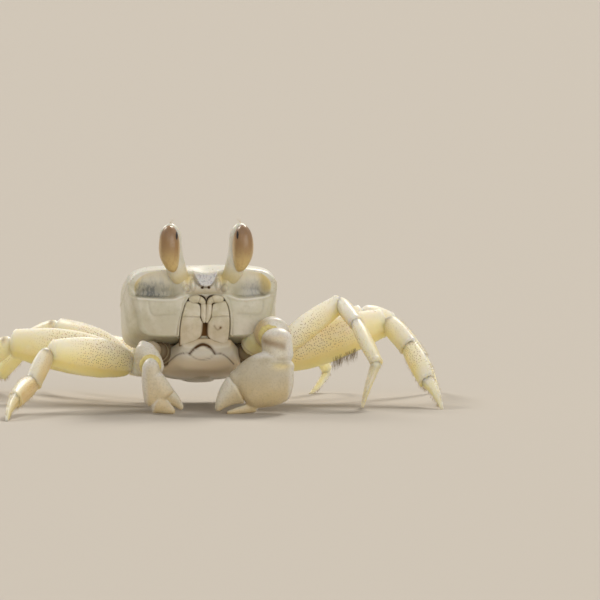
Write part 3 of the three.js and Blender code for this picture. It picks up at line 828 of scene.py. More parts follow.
def pod(centre, half):
    """A soft swelling of skin between two hard segments."""
    centre, half = np.array(centre, float), np.array(half, float)
    reach = np.array([0, 0, half[2] - 0.1])
    skin = Limb(
        straight(centre - reach, centre + reach), [0, 1, 0],
        lambda t: half[1] * np.sqrt(np.maximum(0.01, 1 - (2 * t - 1) ** 2)),
        lambda t: half[0] * np.sqrt(np.maximum(0.01, 1 - (2 * t - 1) ** 2)),
        0.3,
    )
    skin.push(0.08 * ripple(skin.points, 1.4, 4))
    return skin


def claw_arm(side_name, c):
    """The claw leg's base, merus and carpus."""
    at = {key: np.array(value, float) for key, value in c.items()}
    side = SIDES[side_name]
    stem = f"claw_{side_name}_"
    base_line = straight(at["shoulder"], at["merus_start"])

    def stepped(t):
        left = base_line.length * (1 - t)
        return c["base_half"] * (1.05 - 0.17 * smooth(2.7, 2.3, left) - 0.17 * smooth(1.5, 1.1, left))

    base = Limb(base_line, [0, 0, 1], stepped, stepped, 0.3, rings=110)
    left = base.length * (1 - base.along)
    rings = sum(hump(left - gap, 0.22) for gap in (0.2, 1.3, 2.5))
    masks = {
        "seam_and_shade": clamped(0.85 * rings),
        "moss": np.full(len(left), 0.9),
        "tan": np.full(len(left), 0.5),
    }
    cover(stem, "base", base, SHELL, masks)

    first, high, wide = c["merus_half"]
    merus = Limb(
        straight(at["merus_start"], at["knee"]), [0, 0, 1],
        swelling(first, high, 0.95 * high, 0.75), swelling(first, wide, 0.95 * wide, 0.75), 1.6, 2.4,
    )
    foot = smooth(0.5, 0.2, merus.along) * (side < 0)
    lines = hump(merus.along - 0.12, 0.03) + hump(merus.along - 0.26, 0.03)
    masks = {
        "warm": (0.9 if side > 0 else 0.2) * (1 - foot),
        "grey": np.full(len(foot), 0.9 if side < 0 else 0.0),
        "golden": 0.6 * smooth(0.8, -0.2, merus.rise),
        "pale": 0.3 * smooth(0.5, 1, merus.rise),
        "seam_and_shade": (0.25 if side < 0 else 0.0) + 0.25 * foot + 0.4 * lines,
    }
    skin = LEG if side > 0 else CLAW
    cover(stem, "merus", merus, skin, masks)

    high, wide = c["carpus_half"]
    narrow = c["carpus_narrow"]
    carpus = Limb(
        straight(at["carpus_start"], at["wrist"]), [1, 0, 0],
        *swellings(high, wide, narrow, 0.9, 0.6, 0.6),
        2.2, rings=110, sides=60,
    )
    carpus.push(0.06 * ripple(carpus.points, 1.6, 5))
    upper = smooth(-0.1, 0.7, carpus.out[:, 2])
    start = smooth(0.45, 0.1, carpus.along)
    inner = smooth(0.1, 0.7, -side * carpus.out[:, 0]) * (side > 0)
    # pale is painted light on the upward faces, with the carpus's own paler start; warm is painted shade on
    # the lower faces, with its own warm inner side on the left claw.
    masks = {
        "pale": clamped((0.85 * upper + 0.5 * start) * (1 - inner)),
        "warm": clamped(0.4 * smooth(0.2, -0.8, carpus.out[:, 2]) * (1 - start) + inner),
    }
    cover(stem, "carpus", carpus, CLAW, masks)

    skin = pod(c["membrane"], c["membrane_half"])
    piece(stem + "wrist_skin", skin.points, skin.faces, MEMBRANE)


def claw_hand(side_name, c):
    """The palm with its fixed finger, and the movable finger."""
    side = SIDES[side_name]
    at = {key: np.array(value, float) for key, value in c.items()}
    stem = f"claw_{side_name}_"
    palm_axis = unit(at["palm_end"] - at["palm_start"])
    palm_up = unit(np.cross([0, side, 0], palm_axis))
    high, wide = c["palm_half"]

    def finger(which, half, bow):
        return Limb(
            bowed(at[which + "_start"], at[which + "_tip"], palm_up, bow), palm_up,
            lambda t: half[0] + (0.5 - half[0]) * t, lambda t: half[1] + (0.45 - half[1]) * t, 1.2, 0.6,
        )

    palm = Limb(
        bowed(at["palm_start"], at["palm_end"], palm_up, c["palm_bow"]), palm_up,
        swelling(0.8 * high, high, 0.68 * high, 0.45), swelling(0.8 * wide, wide, 0.7 * wide, 0.5),
        2.6, 1.6, square=0.85,
    )
    neck_end = at["palm_start"] + 0.25 * (at["palm_end"] - at["palm_start"])
    neck_half = c["neck_half"]
    neck = Limb(
        straight(at["neck_start"], neck_end), [1, 0, 0],
        constant(neck_half), constant(0.9 * neck_half), 0.8 * neck_half,
    )
    knuckle_first, knuckle_last, knuckle_deep = c["knuckle_half"]
    knuckle = Limb(
        straight(at["knuckle_start"], at["knuckle_end"]), palm_up,
        lambda t: knuckle_first + (knuckle_last - knuckle_first) * t, constant(knuckle_deep),
        0.6 * knuckle_first,
    )
    limbs = [palm, neck, knuckle, finger("fixed", c["fixed_half"], 0)]
    points, normals, faces = merged(stem + "palm", limbs, 0.22, 12)
    points[:, 2] = np.maximum(points[:, 2], 0)
    x, y, z = points.T
    upper = smooth(0.1, 0.85, normals[:, 2])
    rim_lit_side = smooth(0.2, 0.8, normals[:, 0] * side)
    fold = np.zeros(len(points))
    # On the left claw a crease under the upper lobe is pressed in, and its brown in the seam mask is painted
    # shadow.
    if side > 0:
        fold = hump(z - (16.5 - 0.18 * (x - 12)), 0.8) * smooth(11.3, 12.4, x) * smooth(18.0, 16.8, x)
        fold = fold * smooth(0.2, -0.4, normals[:, 1])
        crease = hump(z - 12.2, 0.7) * smooth(12.5, 17.5, x)
        points = points - normals * (0.4 * fold + 0.55 * crease)[:, None]
    height = smooth(2, 13, z)
    lobe = smooth(13.6, 12.2, z) * (side > 0)
    patch = hump(np.hypot((x - 16.1) / 2.2, (z - 11.0) / 0.9), 0.9) * (side > 0)
    # pale is painted light on the upward and higher faces and painted rim light on the outer side; warm is
    # painted shade on the low faces that do not face up, plus the claw's own yellow near the top of the
    # neck.
    masks = {
        "pale": clamped((0.75 * upper + 0.25 * height) * (1 - lobe) + 0.7 * rim_lit_side) * (1 - patch),
        "warm": clamped(0.9 * (1 - height) * (1 - upper) + 0.7 * (hump(z - 17.6, 0.8) * (side > 0))),
        "grey": lobe * smooth(4, 10, z) * (1 - rim_lit_side) * (1 - patch),
        "yellow": patch,
        "seam_and_shade": 0.6 * fold,
    }
    piece(stem + "palm_shell", points, faces, CLAW, [stem + "palm"], masks)

    moving = finger("finger", c["finger_half"], 0.6).above_floor()
    # pale is painted light on the finger's upper face, and warm is painted shade on its lower face.
    masks = {
        "pale": 0.55 * smooth(0.2, 0.95, moving.out[:, 2]),
        "warm": 0.7 * smooth(0.5, -0.4, moving.out[:, 2]),
    }
    cover(stem, "finger", moving, CLAW, masks)


for claw_side, claw_shape in CLAWS.items():
    claw_arm(claw_side, claw_shape)
    claw_hand(claw_side, claw_shape)


# ---------------------------------------------------------------- the body's own frame
def in_crab(points):
    """From the level body frame to the crab's."""
    p = np.asarray(points, float)
    c, s = math.cos(BODY_PITCH), math.sin(BODY_PITCH)
    return np.stack(
        [p[..., 0], p[..., 1] * c + p[..., 2] * s, BODY_HEIGHT - p[..., 1] * s + p[..., 2] * c], -1
    )


half_width = profile(
    [[-15.4, 16.3], [-14.2, 17.0], [-9, 17.2], [-2, 17.8], [5, 18.0], [11, 15.6], [15.6, 10.0]]
)
shell_top = profile([[-15.4, 8.2], [-11, 9.8], [-5, 10.6], [3, 10.2], [10, 8.2], [15.6, 4.4]])
shell_bottom = profile([[-15.4, -7.7], [-8, -8.3], [0, -7.9], [8, -6.9], [15.6, -3.4]])
shell_taper = profile(
    [[-15.4, 0.11], [-14.2, 0.11], [-9, 0.06], [-2, 0.02], [5, 0], [15.6, 0]]
)
TAPER_TOP, TAPER_DEPTH = 4.5, 7.5
# How boxy the cross-section is: 1 is round, towards 0 it has square corners.
SIDE_SQUARENESS, BOTTOM_SQUARENESS = 0.36, 0.35
top_squareness = profile([[-15.4, 0.54], [-9, 0.42], [5, 0.38], [15.6, 0.45]])

ORBIT_LOWER = profile(
    [
        [3.6, 2.6], [4.6, 1.9], [6.24, 1.38], [7.4, 0.94], [8.9, 0.88], [10.6, 0.97], [12.5, 1.2],
        [14.4, 1.45], [16.15, 2.05], [17.4, 2.9],
    ]
)
ORBIT_UPPER = profile(
    [[3.6, 6.4], [6, 7.9], [8, 8.2], [12, 8.0], [14.5, 7.3], [16.2, 6.4], [17.4, 5.2]]
)
ORBIT_DEPTH = 2.4
# The share by which each orbit's outer end lies nearer the middle, or further out where negative.
LEFT_ORBIT, RIGHT_ORBIT = 0.065, -0.115
SUBHEPATIC = spline([[13.3, 0.4], [13.2, -0.8], [12.8, -2.1], [11.9, -2.7], [10, -2.65], [7.4, -2.5]])
PANEL_EDGE = profile([[-9, 10.5], [-7.85, 10.7], [-6.1, 11.1], [-4.3, 11.95], [-2.4, 12.8], [-1, 13.2]])
# The mouth leans to the crab's right, by this much a millimetre below LEAN_TOP.
MOUTH_LEAN, LEAN_TOP = 0.08, -1.4
MOUTH_TOP, MOUTH_FACE_Y, FACE_SLOPE = 1.7, -16.5, 0.16
MOUTH_EDGE = spline(
    [
        [0, 0.5], [0.6, 1.45], [1.4, 1.75], [2.4, 1.73], [3.4, 1.46], [4.15, 0.95], [4.56, 0.28],
        [5.0, -0.5], [5.36, -1.8], [5.62, -3.1], [5.78, -4.4], [5.87, -6], [5.84, -7.4], [5.8, -9.8],
    ]
)
MOUTH_LIP = spline([[4.9, 1.3], [5.5, 0.2], [5.95, -2.4], [6.3, -4.1], [6.45, -6.0], [6.4, -9.5]])
ROSTRUM_EDGE = spline(
    [[0, 3.75], [0.85, 3.95], [1.4, 4.2], [1.95, 4.9], [2.45, 6.0], [2.8, 7.3], [2.9, 8.8]]
)
ANTENNA = (4.5, 3.5)
ANTENNULE = (0.77, 3.73)
ANTENNA_SCALE = (2.9, 4.4)  # the pale lobes that flank the rostrum
YELLOW_PATCH = (4.1, 5.9)
TOOTH_OUT = (0.75, -0.2)  # how far the tooth stands out on the left and on the right
ROUNDING = 0.9  # how far back the edge of the face is rounded
BROW_DIP = 0.9  # how deep the top edge dips between the eyes
TOOTH_Z = 5.6  # the height of the point at each outer corner of the orbits


def face_surface(x, z):
    """How far back the front of the shell lies at (x, z), and its masks."""
    a = np.abs(x)
    y = BODY_FRONT - 0.9 * (1 - (x / 17) ** 2) + 0.10 * np.maximum(0, MOUTH_TOP - z)
    o = a * (1 + np.where(x > 0, LEFT_ORBIT, RIGHT_ORBIT) * smooth(8, 15, a))
    lower, upper = ORBIT_LOWER(o), ORBIT_UPPER(o)
    q = (z - lower) / (upper - lower)
    window = smooth(4.4, 8.2, o) * (1 - smooth(13.4, 16.8, o))
    fade = 1 - 0.55 * smooth(0.3, 0.7, q) - 0.45 * smooth(0.6, 1.15, q)
    deep = smooth(0.0, 0.2, q) * fade * (q > 0)
    y = y + ORBIT_DEPTH * window * deep
    y = y - 0.25 * hump(z - lower + 0.15, 0.32) * smooth(3.9, 5.4, a)
    # Between the orbits: a shallow bay under the rostrum, with the antennae's roots.
    bay = smooth(5.2, 3.7, a) * smooth(1.9, 2.4, z) * smooth(7.9, 6.4, z)
    y = y + 0.9 * bay
    away = outside_rostrum(a, z)
    tongue = smooth(0.15, -0.2, away)
    swell = hump((z - 6.0) / 2.6, 1.0)
    y = y - (0.95 * bay + 0.4 * swell) * tongue
    tubercle = np.hypot(a - ANTENNA[0], z - ANTENNA[1])
    y = y - 0.6 * smooth(1.0, 0.3, tubercle)
    lobe = np.hypot((a - ANTENNA_SCALE[0]) / 0.6, (z - ANTENNA_SCALE[1]) / 1.25)
    y = y - 0.6 * smooth(1.1, 0.2, lobe) * (1 - tongue)
    socket = np.hypot(a - ANTENNULE[0], (z - ANTENNULE[1]) * 1.4)
    y = y + 0.5 * smooth(0.36, 0.1, socket)
    sill = hump(z - 2.2, 0.24) * smooth(5.2, 4.0, a)
    y = y - 0.3 * sill
    # The mouth frame: a shallow recess that the mouthparts fill, with a raised lip.
    m = np.abs(x - mouth_middle(z))
    edge = distance_to(MOUTH_EDGE, m, z)
    y = y + 1.3 * smooth(0.12, -0.12, outside_mouth(m, z))
    lip_line = distance_to(MOUTH_LIP, m, z)
    y = y - 0.22 * hump(edge, 0.42) * (outside_mouth(m, z) > 0)
    y = y + 0.12 * hump(lip_line, 0.2)
    subhepatic = distance_to(SUBHEPATIC, a, z)
    y = y + 0.1 * hump(subhepatic, 0.3)
    # shadow_line is a painted shadow along the top edge of the mouth frame, kept in the seam mask with the
    # real seams.
    shadow_line = smooth(0.45, -0.1, z - 1.45) * smooth(3.9, 2.6, m) * smooth(0.6, 1.1, z)
    rostrum_line = hump(away, 0.2) * smooth(7.4, 6.2, z) * (0.35 + 0.65 * smooth(5.4, 4.2, z))
    inside = smooth(0.0, -0.2, outside_mouth(m, z))
    seam_and_shade = (
        (0.25 + 0.35 * smooth(4.6, 3.4, m)) * hump(edge, 0.15)
        + 0.6 * shadow_line
        + 0.3 * hump(lip_line, 0.16) * smooth(-4.5, -6.5, z)
        + 0.1 * hump(subhepatic, 0.22)
        + 0.55 * rostrum_line * bay
        + 1.0 * smooth(0.5, 0.22, socket)
        + 0.3 * hump(tubercle - 0.9, 0.2) * smooth(5.0, 4.4, a) * smooth(2.4, 2.8, z)
        + 0.25 * hump(lobe - 1.15, 0.2) * (1 - tongue) * bay
        + 0.3 * hump(z - 1.85, 0.16) * smooth(4.4, 3.6, a)
        + 0.35 * hump(z + 7.5, 0.16) * smooth(6.4, 7.2, a) * smooth(14.5, 12.0, a)
    )
    # The orbit roof's warm cream is partly its own colour and partly painted glow of light shining through
    # the shell.
    glowing_roof = smooth(0.4, 0.85, q) * window
    pit = smooth(0.0, 0.12, q) * smooth(1.0, 0.3, q) * hump((o - 11.6) / 3.0, 1.0)
    pit = pit * (0.8 - 0.2 * np.sign(x))
    masks = {
        "seam_and_shade": clamped(seam_and_shade * (1 - inside)),
        "gap": inside * smooth(-11.0, -9.8, z),
        "fold": 0.5 * hump(o - 14.4 + 0.9 * (z - 2), 0.45) * smooth(0.02, 0.1, q) * smooth(0.5, 0.2, q),
        "hollow": pit,
        "moss": clamped(
            0.8 * window * smooth(0.0, 0.15, q) * smooth(0.9, 0.3, q) * hump(o - 7.4, 2.0)
            + 0.5 * smooth(0.0, 1.4, a - PANEL_EDGE(z)) * smooth(0, -3, z)
            + 0.7 * hump(z - 2.6, 0.7) * smooth(3.9, 2.9, a)
        ),
        "warm": clamped(
            glowing_roof * (0.3 + 0.5 * smooth(9, 14.5, o))
            + 1.0 * smooth(12.6, 14.8, o) * smooth(0.05, 0.4, q) * smooth(1.15, 0.8, q) * smooth(18.5, 17, o)
            + 0.95 * hump(np.hypot(a - YELLOW_PATCH[0], z - YELLOW_PATCH[1]), 1.3) * (1 - tongue)
            + 0.55 * hump(np.hypot((a - 7.0) / 2.4, (z - 6.6) / 1.3), 1.0)
        ),
        "pale": clamped(
            0.9 * tongue
            # Painted glow in the upper orbit roof, with its own pale tone.
            + 0.5 * smooth(0.35, 0.7, q) * (q < 1.2) * smooth(5, 7, a) * smooth(14.5, 12, o)
            # Painted highlight on the face's top edge between the eyes.
            + 0.8 * smooth(6.8, 7.8, z) * smooth(6.5, 4.5, a)
            + 0.5 * smooth(1.0, 0.4, lobe) * (1 - tongue)
            + 0.7 * hump(z - lower + 0.1, 0.3) * smooth(4.2, 6, a)
            # Painted highlight on the face's top edge above each orbit.
            + 0.7 * hump(np.hypot((a - 8.7) / 1.6, (z - 8.1) / 0.8), 1.0)
        ),
        "blue": tongue * smooth(7.9, 6.8, z) * smooth(3.8, 4.4, z)
        + 0.6 * pit * (x > 0) * smooth(0.8, 0.4, q),
        "tan": 0.3 * smooth(1.5, -7, z) + 0.5 * bay * smooth(4.4, 3.0, z) * (1 - tongue),
    }
    return y, masks


def mouth_middle(z):
    return MOUTH_LEAN * np.minimum(0, z - LEAN_TOP)


def outside_rostrum(a, z):
    """Signed distance, roughly, outside the rostrum's rounded tongue."""
    width = np.interp(z, ROSTRUM_EDGE[:, 1], ROSTRUM_EDGE[:, 0])
    return np.maximum((a - width) * 0.8, ROSTRUM_EDGE[0, 1] - z)


def outside_mouth(a, z):
    """Signed distance, roughly, outside the mouth frame."""
    crown = 2.4
    side = MOUTH_EDGE[MOUTH_EDGE[:, 0] > crown][::-1]
    top = MOUTH_EDGE[MOUTH_EDGE[:, 0] <= crown]
    width = np.interp(z, side[:, 1], side[:, 0])
    return np.maximum((a - width) * 0.9, z - np.interp(a, top[:, 0], top[:, 1]))


# The right front corner stands out further than the left by this share of the half width.
right_flare = profile([[-15.4, 0.07], [-8, 0.045], [0, 0.005], [15.6, 0]])


def section(a, b, y, inset_x=0.0, inset_z=0.0):
    """The point of the shell's outline at y in the direction (a, b), |a| or |b| being 1."""
    power = np.where(b > 0, 2 / top_squareness(y), 2 / BOTTOM_SQUARENESS)
    cross_power = 2 / SIDE_SQUARENESS
    low, high = np.zeros(np.shape(a)), np.full(np.shape(a), 1.0)
    for _ in range(40):
        k = (low + high) / 2
        inside = (k * np.abs(a)) ** cross_power + (k * np.abs(b)) ** power < 1
        low, high = np.where(inside, k, low), np.where(inside, high, k)
    middle = (shell_top(y) + shell_bottom(y)) / 2
    half = (shell_top(y) - shell_bottom(y)) / 2 - inset_z
    z = middle + k * b * half
    lean = clamped((TAPER_TOP - z) / TAPER_DEPTH) * shell_taper(y)
    flare = np.where(a < 0, 1 + right_flare(y), 1)
    x = k * a * (half_width(y) * flare * (1 - lean) - inset_x)
    return x, z


def brow_dip(x, z):
    return BROW_DIP * hump(x / 3.6, 1.0) * smooth(5.5, 8.0, z)


def rim_inset(share):
    """How far the face's edge lies inside the outline, from the share of the way up or down."""
    return 0.9 - 0.55 * smooth(0.5, 0.95, np.abs(share))


def carapace():
    columns, rows = 232, 120
    a, b = np.meshgrid(np.linspace(-1, 1, columns + 1), np.linspace(-1, 1, rows + 1))
    reach = np.maximum(np.maximum(np.abs(a), np.abs(b)), 1e-6)
    rim = rim_inset(np.abs(b) / reach)
    rim_x = 0.8
    edge_x, edge_z = section(a / reach, b / reach, BODY_FRONT, rim_x, rim)
    middle = (shell_top(BODY_FRONT) + shell_bottom(BODY_FRONT)) / 2
    x = edge_x * reach
    z = middle + (edge_z - middle) * reach
    y, masks = face_surface(x, z)
    z = z - brow_dip(x, z)
    tooth = hump(np.hypot(np.abs(x) - 16.2, z - TOOTH_Z), 1.1)
    x = x + np.where(x > 0, *TOOTH_OUT) * tooth
    y = y - 0.4 * tooth
    grid = np.stack([x, y, z], -1)

    # The boundary of the front, walked once round.
    ring = (
        [(0, j) for j in range(columns)]
        + [(i, columns) for i in range(rows)]
        + [(rows, j) for j in range(columns, 0, -1)]
        + [(i, 0) for i in range(rows, 0, -1)]
    )
    ring_i = np.array([r[0] for r in ring])
    ring_j = np.array([r[1] for r in ring])
    ring_a, ring_b = a[ring_i, ring_j], b[ring_i, ring_j]
    front_y = y[ring_i, ring_j]

    points = [grid.reshape(-1, 3)]
    width = columns + 1
    faces = []
    for i in range(rows):
        for j in range(columns):
            v = i * width + j
            faces.append((v, v + 1, v + width + 1, v + width))
    previous = ring_i * width + ring_j
    count = len(grid.reshape(-1, 3))

    turn = np.linspace(0, 1, 7)[1:]
    roundings = [(1 - math.cos(t * math.pi / 2), math.sin(t * math.pi / 2)) for t in turn]
    backs = BODY_FRONT + ROUNDING + (BODY_BACK - BODY_FRONT - ROUNDING) * np.linspace(0, 1, 52)[1:] ** 1.15
    rings = []
    for back, out in roundings:
        rim_here = rim_inset(ring_b)
        ring_x, ring_z = section(
            ring_a, ring_b, BODY_FRONT + ROUNDING * back, rim_x * (1 - out), rim_here * (1 - out)
        )
        drop = brow_dip(ring_x, ring_z)
        point = hump(np.hypot(np.abs(ring_x) - 16.4, ring_z - TOOTH_Z), 1.1) * (1 - back)
        ring_x = ring_x + np.where(ring_x > 0, *TOOTH_OUT) * point
        ring_y = front_y + (BODY_FRONT + ROUNDING - front_y) * back
        rings.append(np.stack([ring_x, ring_y, ring_z - drop], -1))
    for at in backs:
        ring_x, ring_z = section(ring_a, ring_b, at)
        fade = 1 - smooth(BODY_FRONT + ROUNDING, -11.5, at)
        drop = brow_dip(ring_x, ring_z) * fade
        rings.append(np.stack([ring_x, np.full(len(ring_x), at), ring_z - drop], -1))
    last = rings[-1]
    centre = last.mean(0)
    for share in (0.97, 0.85, 0.6, 0.3):
        shrunk = centre + (last - centre) * share
        shrunk[:, 1] = BODY_BACK + 0.5 * (1 - share**2)
        rings.append(shrunk)
    for shape in rings:
        points.append(shape)
        here = count + np.arange(len(shape))
        for j in range(len(shape)):
            k = (j + 1) % len(shape)
            faces.append((previous[j], here[j], here[k], previous[k]))
        previous = here
        count += len(shape)
    points.append(centre[None] + [[0, 0.5, 0]])
    for j in range(len(previous)):
        faces.append((previous[j], count, previous[(j + 1) % len(previous)]))
    faces = [tuple(int(i) for i in face) for face in faces]

    body = np.vstack(points)
    front_count = grid.shape[0] * grid.shape[1]
    rest = np.zeros(len(body) - front_count)
    every = {key: np.concatenate([mask.reshape(-1), rest]) for key, mask in masks.items()}
    bx, by, bz = body.T
    behind = np.arange(len(body)) >= front_count
    # Furrows of the back, a slight ripple over the top, and a side ridge.
    across = np.abs(bx)
    upper = behind & (bz > 3)
    furrow = distance_to(spline([[4.6, -7], [5.4, -2], [4.2, 2], [5.6, 7]]), across, by)
    bar = distance_to(spline([[0, 2.6], [2.4, 2.2], [4.2, 2.0]]), across, by)
    dent = 0.32 * hump(furrow, 0.75) + 0.22 * hump(bar, 0.6)
    dent = dent * upper
    body[:, 2] -= dent
    body[:, 2] += upper * 0.08 * ripple(body, 4.5, 3)
    shoulder = behind & (by > BODY_FRONT + 1)
    crest = hump(bz - (5.4 - 0.12 * (by + 15)), 0.35) * shoulder * (across > 10)
    body[:, 0] += np.sign(bx) * 0.16 * crest
    every["specked"] = np.where(behind, smooth(1, 5, bz), 0.0)
    back_warmth = 0.3 * smooth(-12, 1, by) * smooth(4.5, 8.5, bz)
    every["warm"] = np.maximum(every["warm"], np.where(behind, back_warmth, 0))
    every["moss"] = np.where(behind, 0.5 * smooth(2, -3, bz) * smooth(4, -6, by), every["moss"])
    every["pale"] = np.where(behind, 0.8 * smooth(4.5, 7.5, bz) * smooth(3, -13, by), every["pale"])
    every["warm"] = np.maximum(every["warm"], 0.5 * hump(furrow, 1.0) * upper)
    piece("carapace_shell", in_crab(body), faces, SHELL, ["carapace"], every)


carapace()


# ---------------------------------------------------------------- mouthparts
def mouth_face(z):
    return MOUTH_FACE_Y + (MOUTH_TOP - z) * FACE_SLOPE


def plaque(outline, surface, depth, rounds, around=220):
    """A plate with a rolled edge. surface gives y at (x, z) from the share of the way out."""
    walk = Path(np.column_stack([outline[:, 0], np.zeros(len(outline)), outline[:, 1]]))
    rim = walk.at(np.linspace(0, 1, around, endpoint=False))[:, [0, 2]]
    centre = rim.mean(0)
    shares = np.concatenate([np.linspace(0.02, 0.9, rounds), 1 - 0.1 * np.linspace(0.9, 0, 8) ** 2])
    flat = centre + shares[:, None, None] * (rim - centre)
    y = surface(flat[..., 0], flat[..., 1], shares[:, None] * np.ones(around))
    front = np.stack([flat[..., 0], y, flat[..., 1]], -1)
    back = front[-1] + [0, depth, 0]
    points = np.vstack([front.reshape(-1, 3), back])
    pole_front = [centre[0], float(surface(centre[0], centre[1], 0.0)), centre[1]]
    pole_back = [centre[0], back[:, 1].mean(), centre[1]]
    points = np.vstack([[pole_front], points, [pole_back]])
    return points, tube_faces(len(shares) + 1, around)


PLATE = spline(
    [
        [1.5, -0.35], [1.9, 0], [2.6, 0.15], [3.5, 0.35], [4.4, 0.45], [4.93, -0.5], [5.29, -1.8],
        [5.55, -3.1], [5.7, -4.4], [5.78, -6], [5.72, -7.4], [5.68, -9.2], [5.5, -9.75], [4.6, -9.65],
        [2.9, -9.1], [1.68, -8.58], [0.91, -7.85], [0.52, -6.95], [0.45, -5.83], [0.48, -4.6],
        [0.9, -3.95], [1.2, -3.2], [1.24, -1.8], [1.35, -0.85], [1.5, -0.35],
    ],
    6,
)
SUTURE = spline([[1.1, -3.3], [3.2, -3.2], [5.5, -3.15]])
SCAR = spline([[2.1, -5.3], [2.9, -6.2], [3.6, -5.8]])
SCAR_SPOT = (3.6, -5.7)
PALP = [
    [4.0, 0.5], [3.0, 0.82], [2.0, 0.88], [1.2, 0.6], [0.74, 0.0], [0.64, -1.2], [0.6, -2.6],
    [0.4, -3.8], [0.22, -4.6],
]


def mouthparts(side_name):
    side = SIDES[side_name]

    def plate(x, z, share):
        y = mouth_face(z) - 0.35 * (1 - clamped(np.hypot((x - 3.4) / 3.2, (z + 4.6) / 7.0)) ** 2)
        y = y + 0.4 * smooth(0.92, 1.0, share) ** 2
        y = y + 0.14 * hump(distance_to(SUTURE, x, z), 0.16)
        return y + 0.08 * hump(x - 2.4 - 0.08 * z, 0.5) * smooth(-3.4, -4.2, z)

    points, faces = plaque(PLATE, plate, 1.1, 44)
    x, z = points[:, 0], points[:, 2]
    edge = distance_to(PLATE, x, z)
    inner = smooth(2.6, 0.9, x)
    lower = smooth(-7.2, -8.2, z)
    seam_and_shade = (0.1 + 0.25 * inner + 0.8 * lower) * hump(edge, 0.12 + 0.08 * np.maximum(inner, lower))
    seam_and_shade = seam_and_shade + 0.22 * hump(distance_to(SUTURE, x, z), 0.16)
    seam_and_shade = seam_and_shade + 0.6 * smooth(1.15, 0.5, x) * smooth(-4.3, -5.0, z) * smooth(-8.4, -7.2, z)
    if side > 0:
        spot = np.hypot(x - SCAR_SPOT[0], z - SCAR_SPOT[1])
        seam_and_shade = seam_and_shade + 0.45 * hump(distance_to(SCAR, x, z), 0.22) + 0.85 * hump(spot, 0.3)
    masks = {"seam_and_shade": clamped(seam_and_shade), "tan": 0.65 * smooth(-2.2, -6.5, z)}
    points[:, 0] = side * points[:, 0] + mouth_middle(points[:, 2])
    if side < 0:
        faces = [face[::-1] for face in faces]
    piece(
        f"maxilliped_{side_name}_shell", in_crab(points), faces, MOUTH,
        [f"maxilliped_{side_name}"], masks,
    )

    line = spline(PALP)
    across = side * line[:, 0] + mouth_middle(line[:, 1])
    track = np.column_stack([across, mouth_face(line[:, 1]) - 0.05, line[:, 1]])
    palp = Limb(
        Path(in_crab(track)), [0, -1, 0], constant(0.5),
        lambda t: 0.97 - 0.3 * smooth(0.2, 0.45, t) - 0.42 * smooth(0.8, 1.05, t),
        0.9, 0.3, rings=90, sides=24,
    )
    steps = sum(hump(palp.along - at, 0.014) for at in (0.3, 0.47))
    palp.push(-0.08 * steps)
    rim = smooth(0.75, 0.98, np.abs(palp.cross))
    masks = {"seam_and_shade": clamped(0.35 * steps + 0.45 * rim), "tan": 0.3 * palp.along}
    piece(f"palp_{side_name}", palp.points, palp.faces, MOUTH, (), masks)


for name in SIDES:
    mouthparts(name)


# ---------------------------------------------------------------- underside
STERNUM_FRONT, STERNUM_BACK = -14.9, 13.8
sternum_half_width = profile(
    [[-14.9, 5.6], [-13.6, 6.3], [-10, 7.8], [-5, 9.7], [0, 10.4], [8, 9.4], [13.8, 6]]
)
sternum_bottom = profile(
    [
        [-14.9, -10.4], [-13.8, -12.2], [-12.2, -13.6], [-9.7, -14.8], [-4, -15.1], [4, -14.7],
        [10, -13.2], [13.8, -10],
    ]
)
VIEW_AZIMUTH, VIEW_ELEVATION = math.radians(-6.5), math.radians(4)
RIGHTWARDS = np.array([math.cos(VIEW_AZIMUTH), math.sin(VIEW_AZIMUTH), 0])
TOWARDS = np.array(
    [
        math.sin(VIEW_AZIMUTH) * math.cos(VIEW_ELEVATION),
        -math.cos(VIEW_AZIMUTH) * math.cos(VIEW_ELEVATION),
        math.sin(VIEW_ELEVATION),
    ]
)
UPWARDS = np.cross(TOWARDS, RIGHTWARDS)

# Seams of the first breastplates, in millimetres across and up the front view.
ARCH = spline([[-2.07, 11.95], [-0.9, 13.2], [0.9, 14.15], [2.6, 13.5], [3.75, 12.1]])
ARCH_BASE = spline([[-2.07, 11.95], [-0.6, 10.9], [0.95, 10.6], [2.5, 10.95], [3.75, 12.1]])
SHOULDERS = [
    spline([[-2.07, 11.95], [-3.5, 12.15], [-5.0, 11.7], [-6.5, 10.5], [-7.9, 9.1]]),
    spline([[3.75, 12.1], [5.2, 12.0], [6.7, 11.1], [8.1, 9.6]]),
]


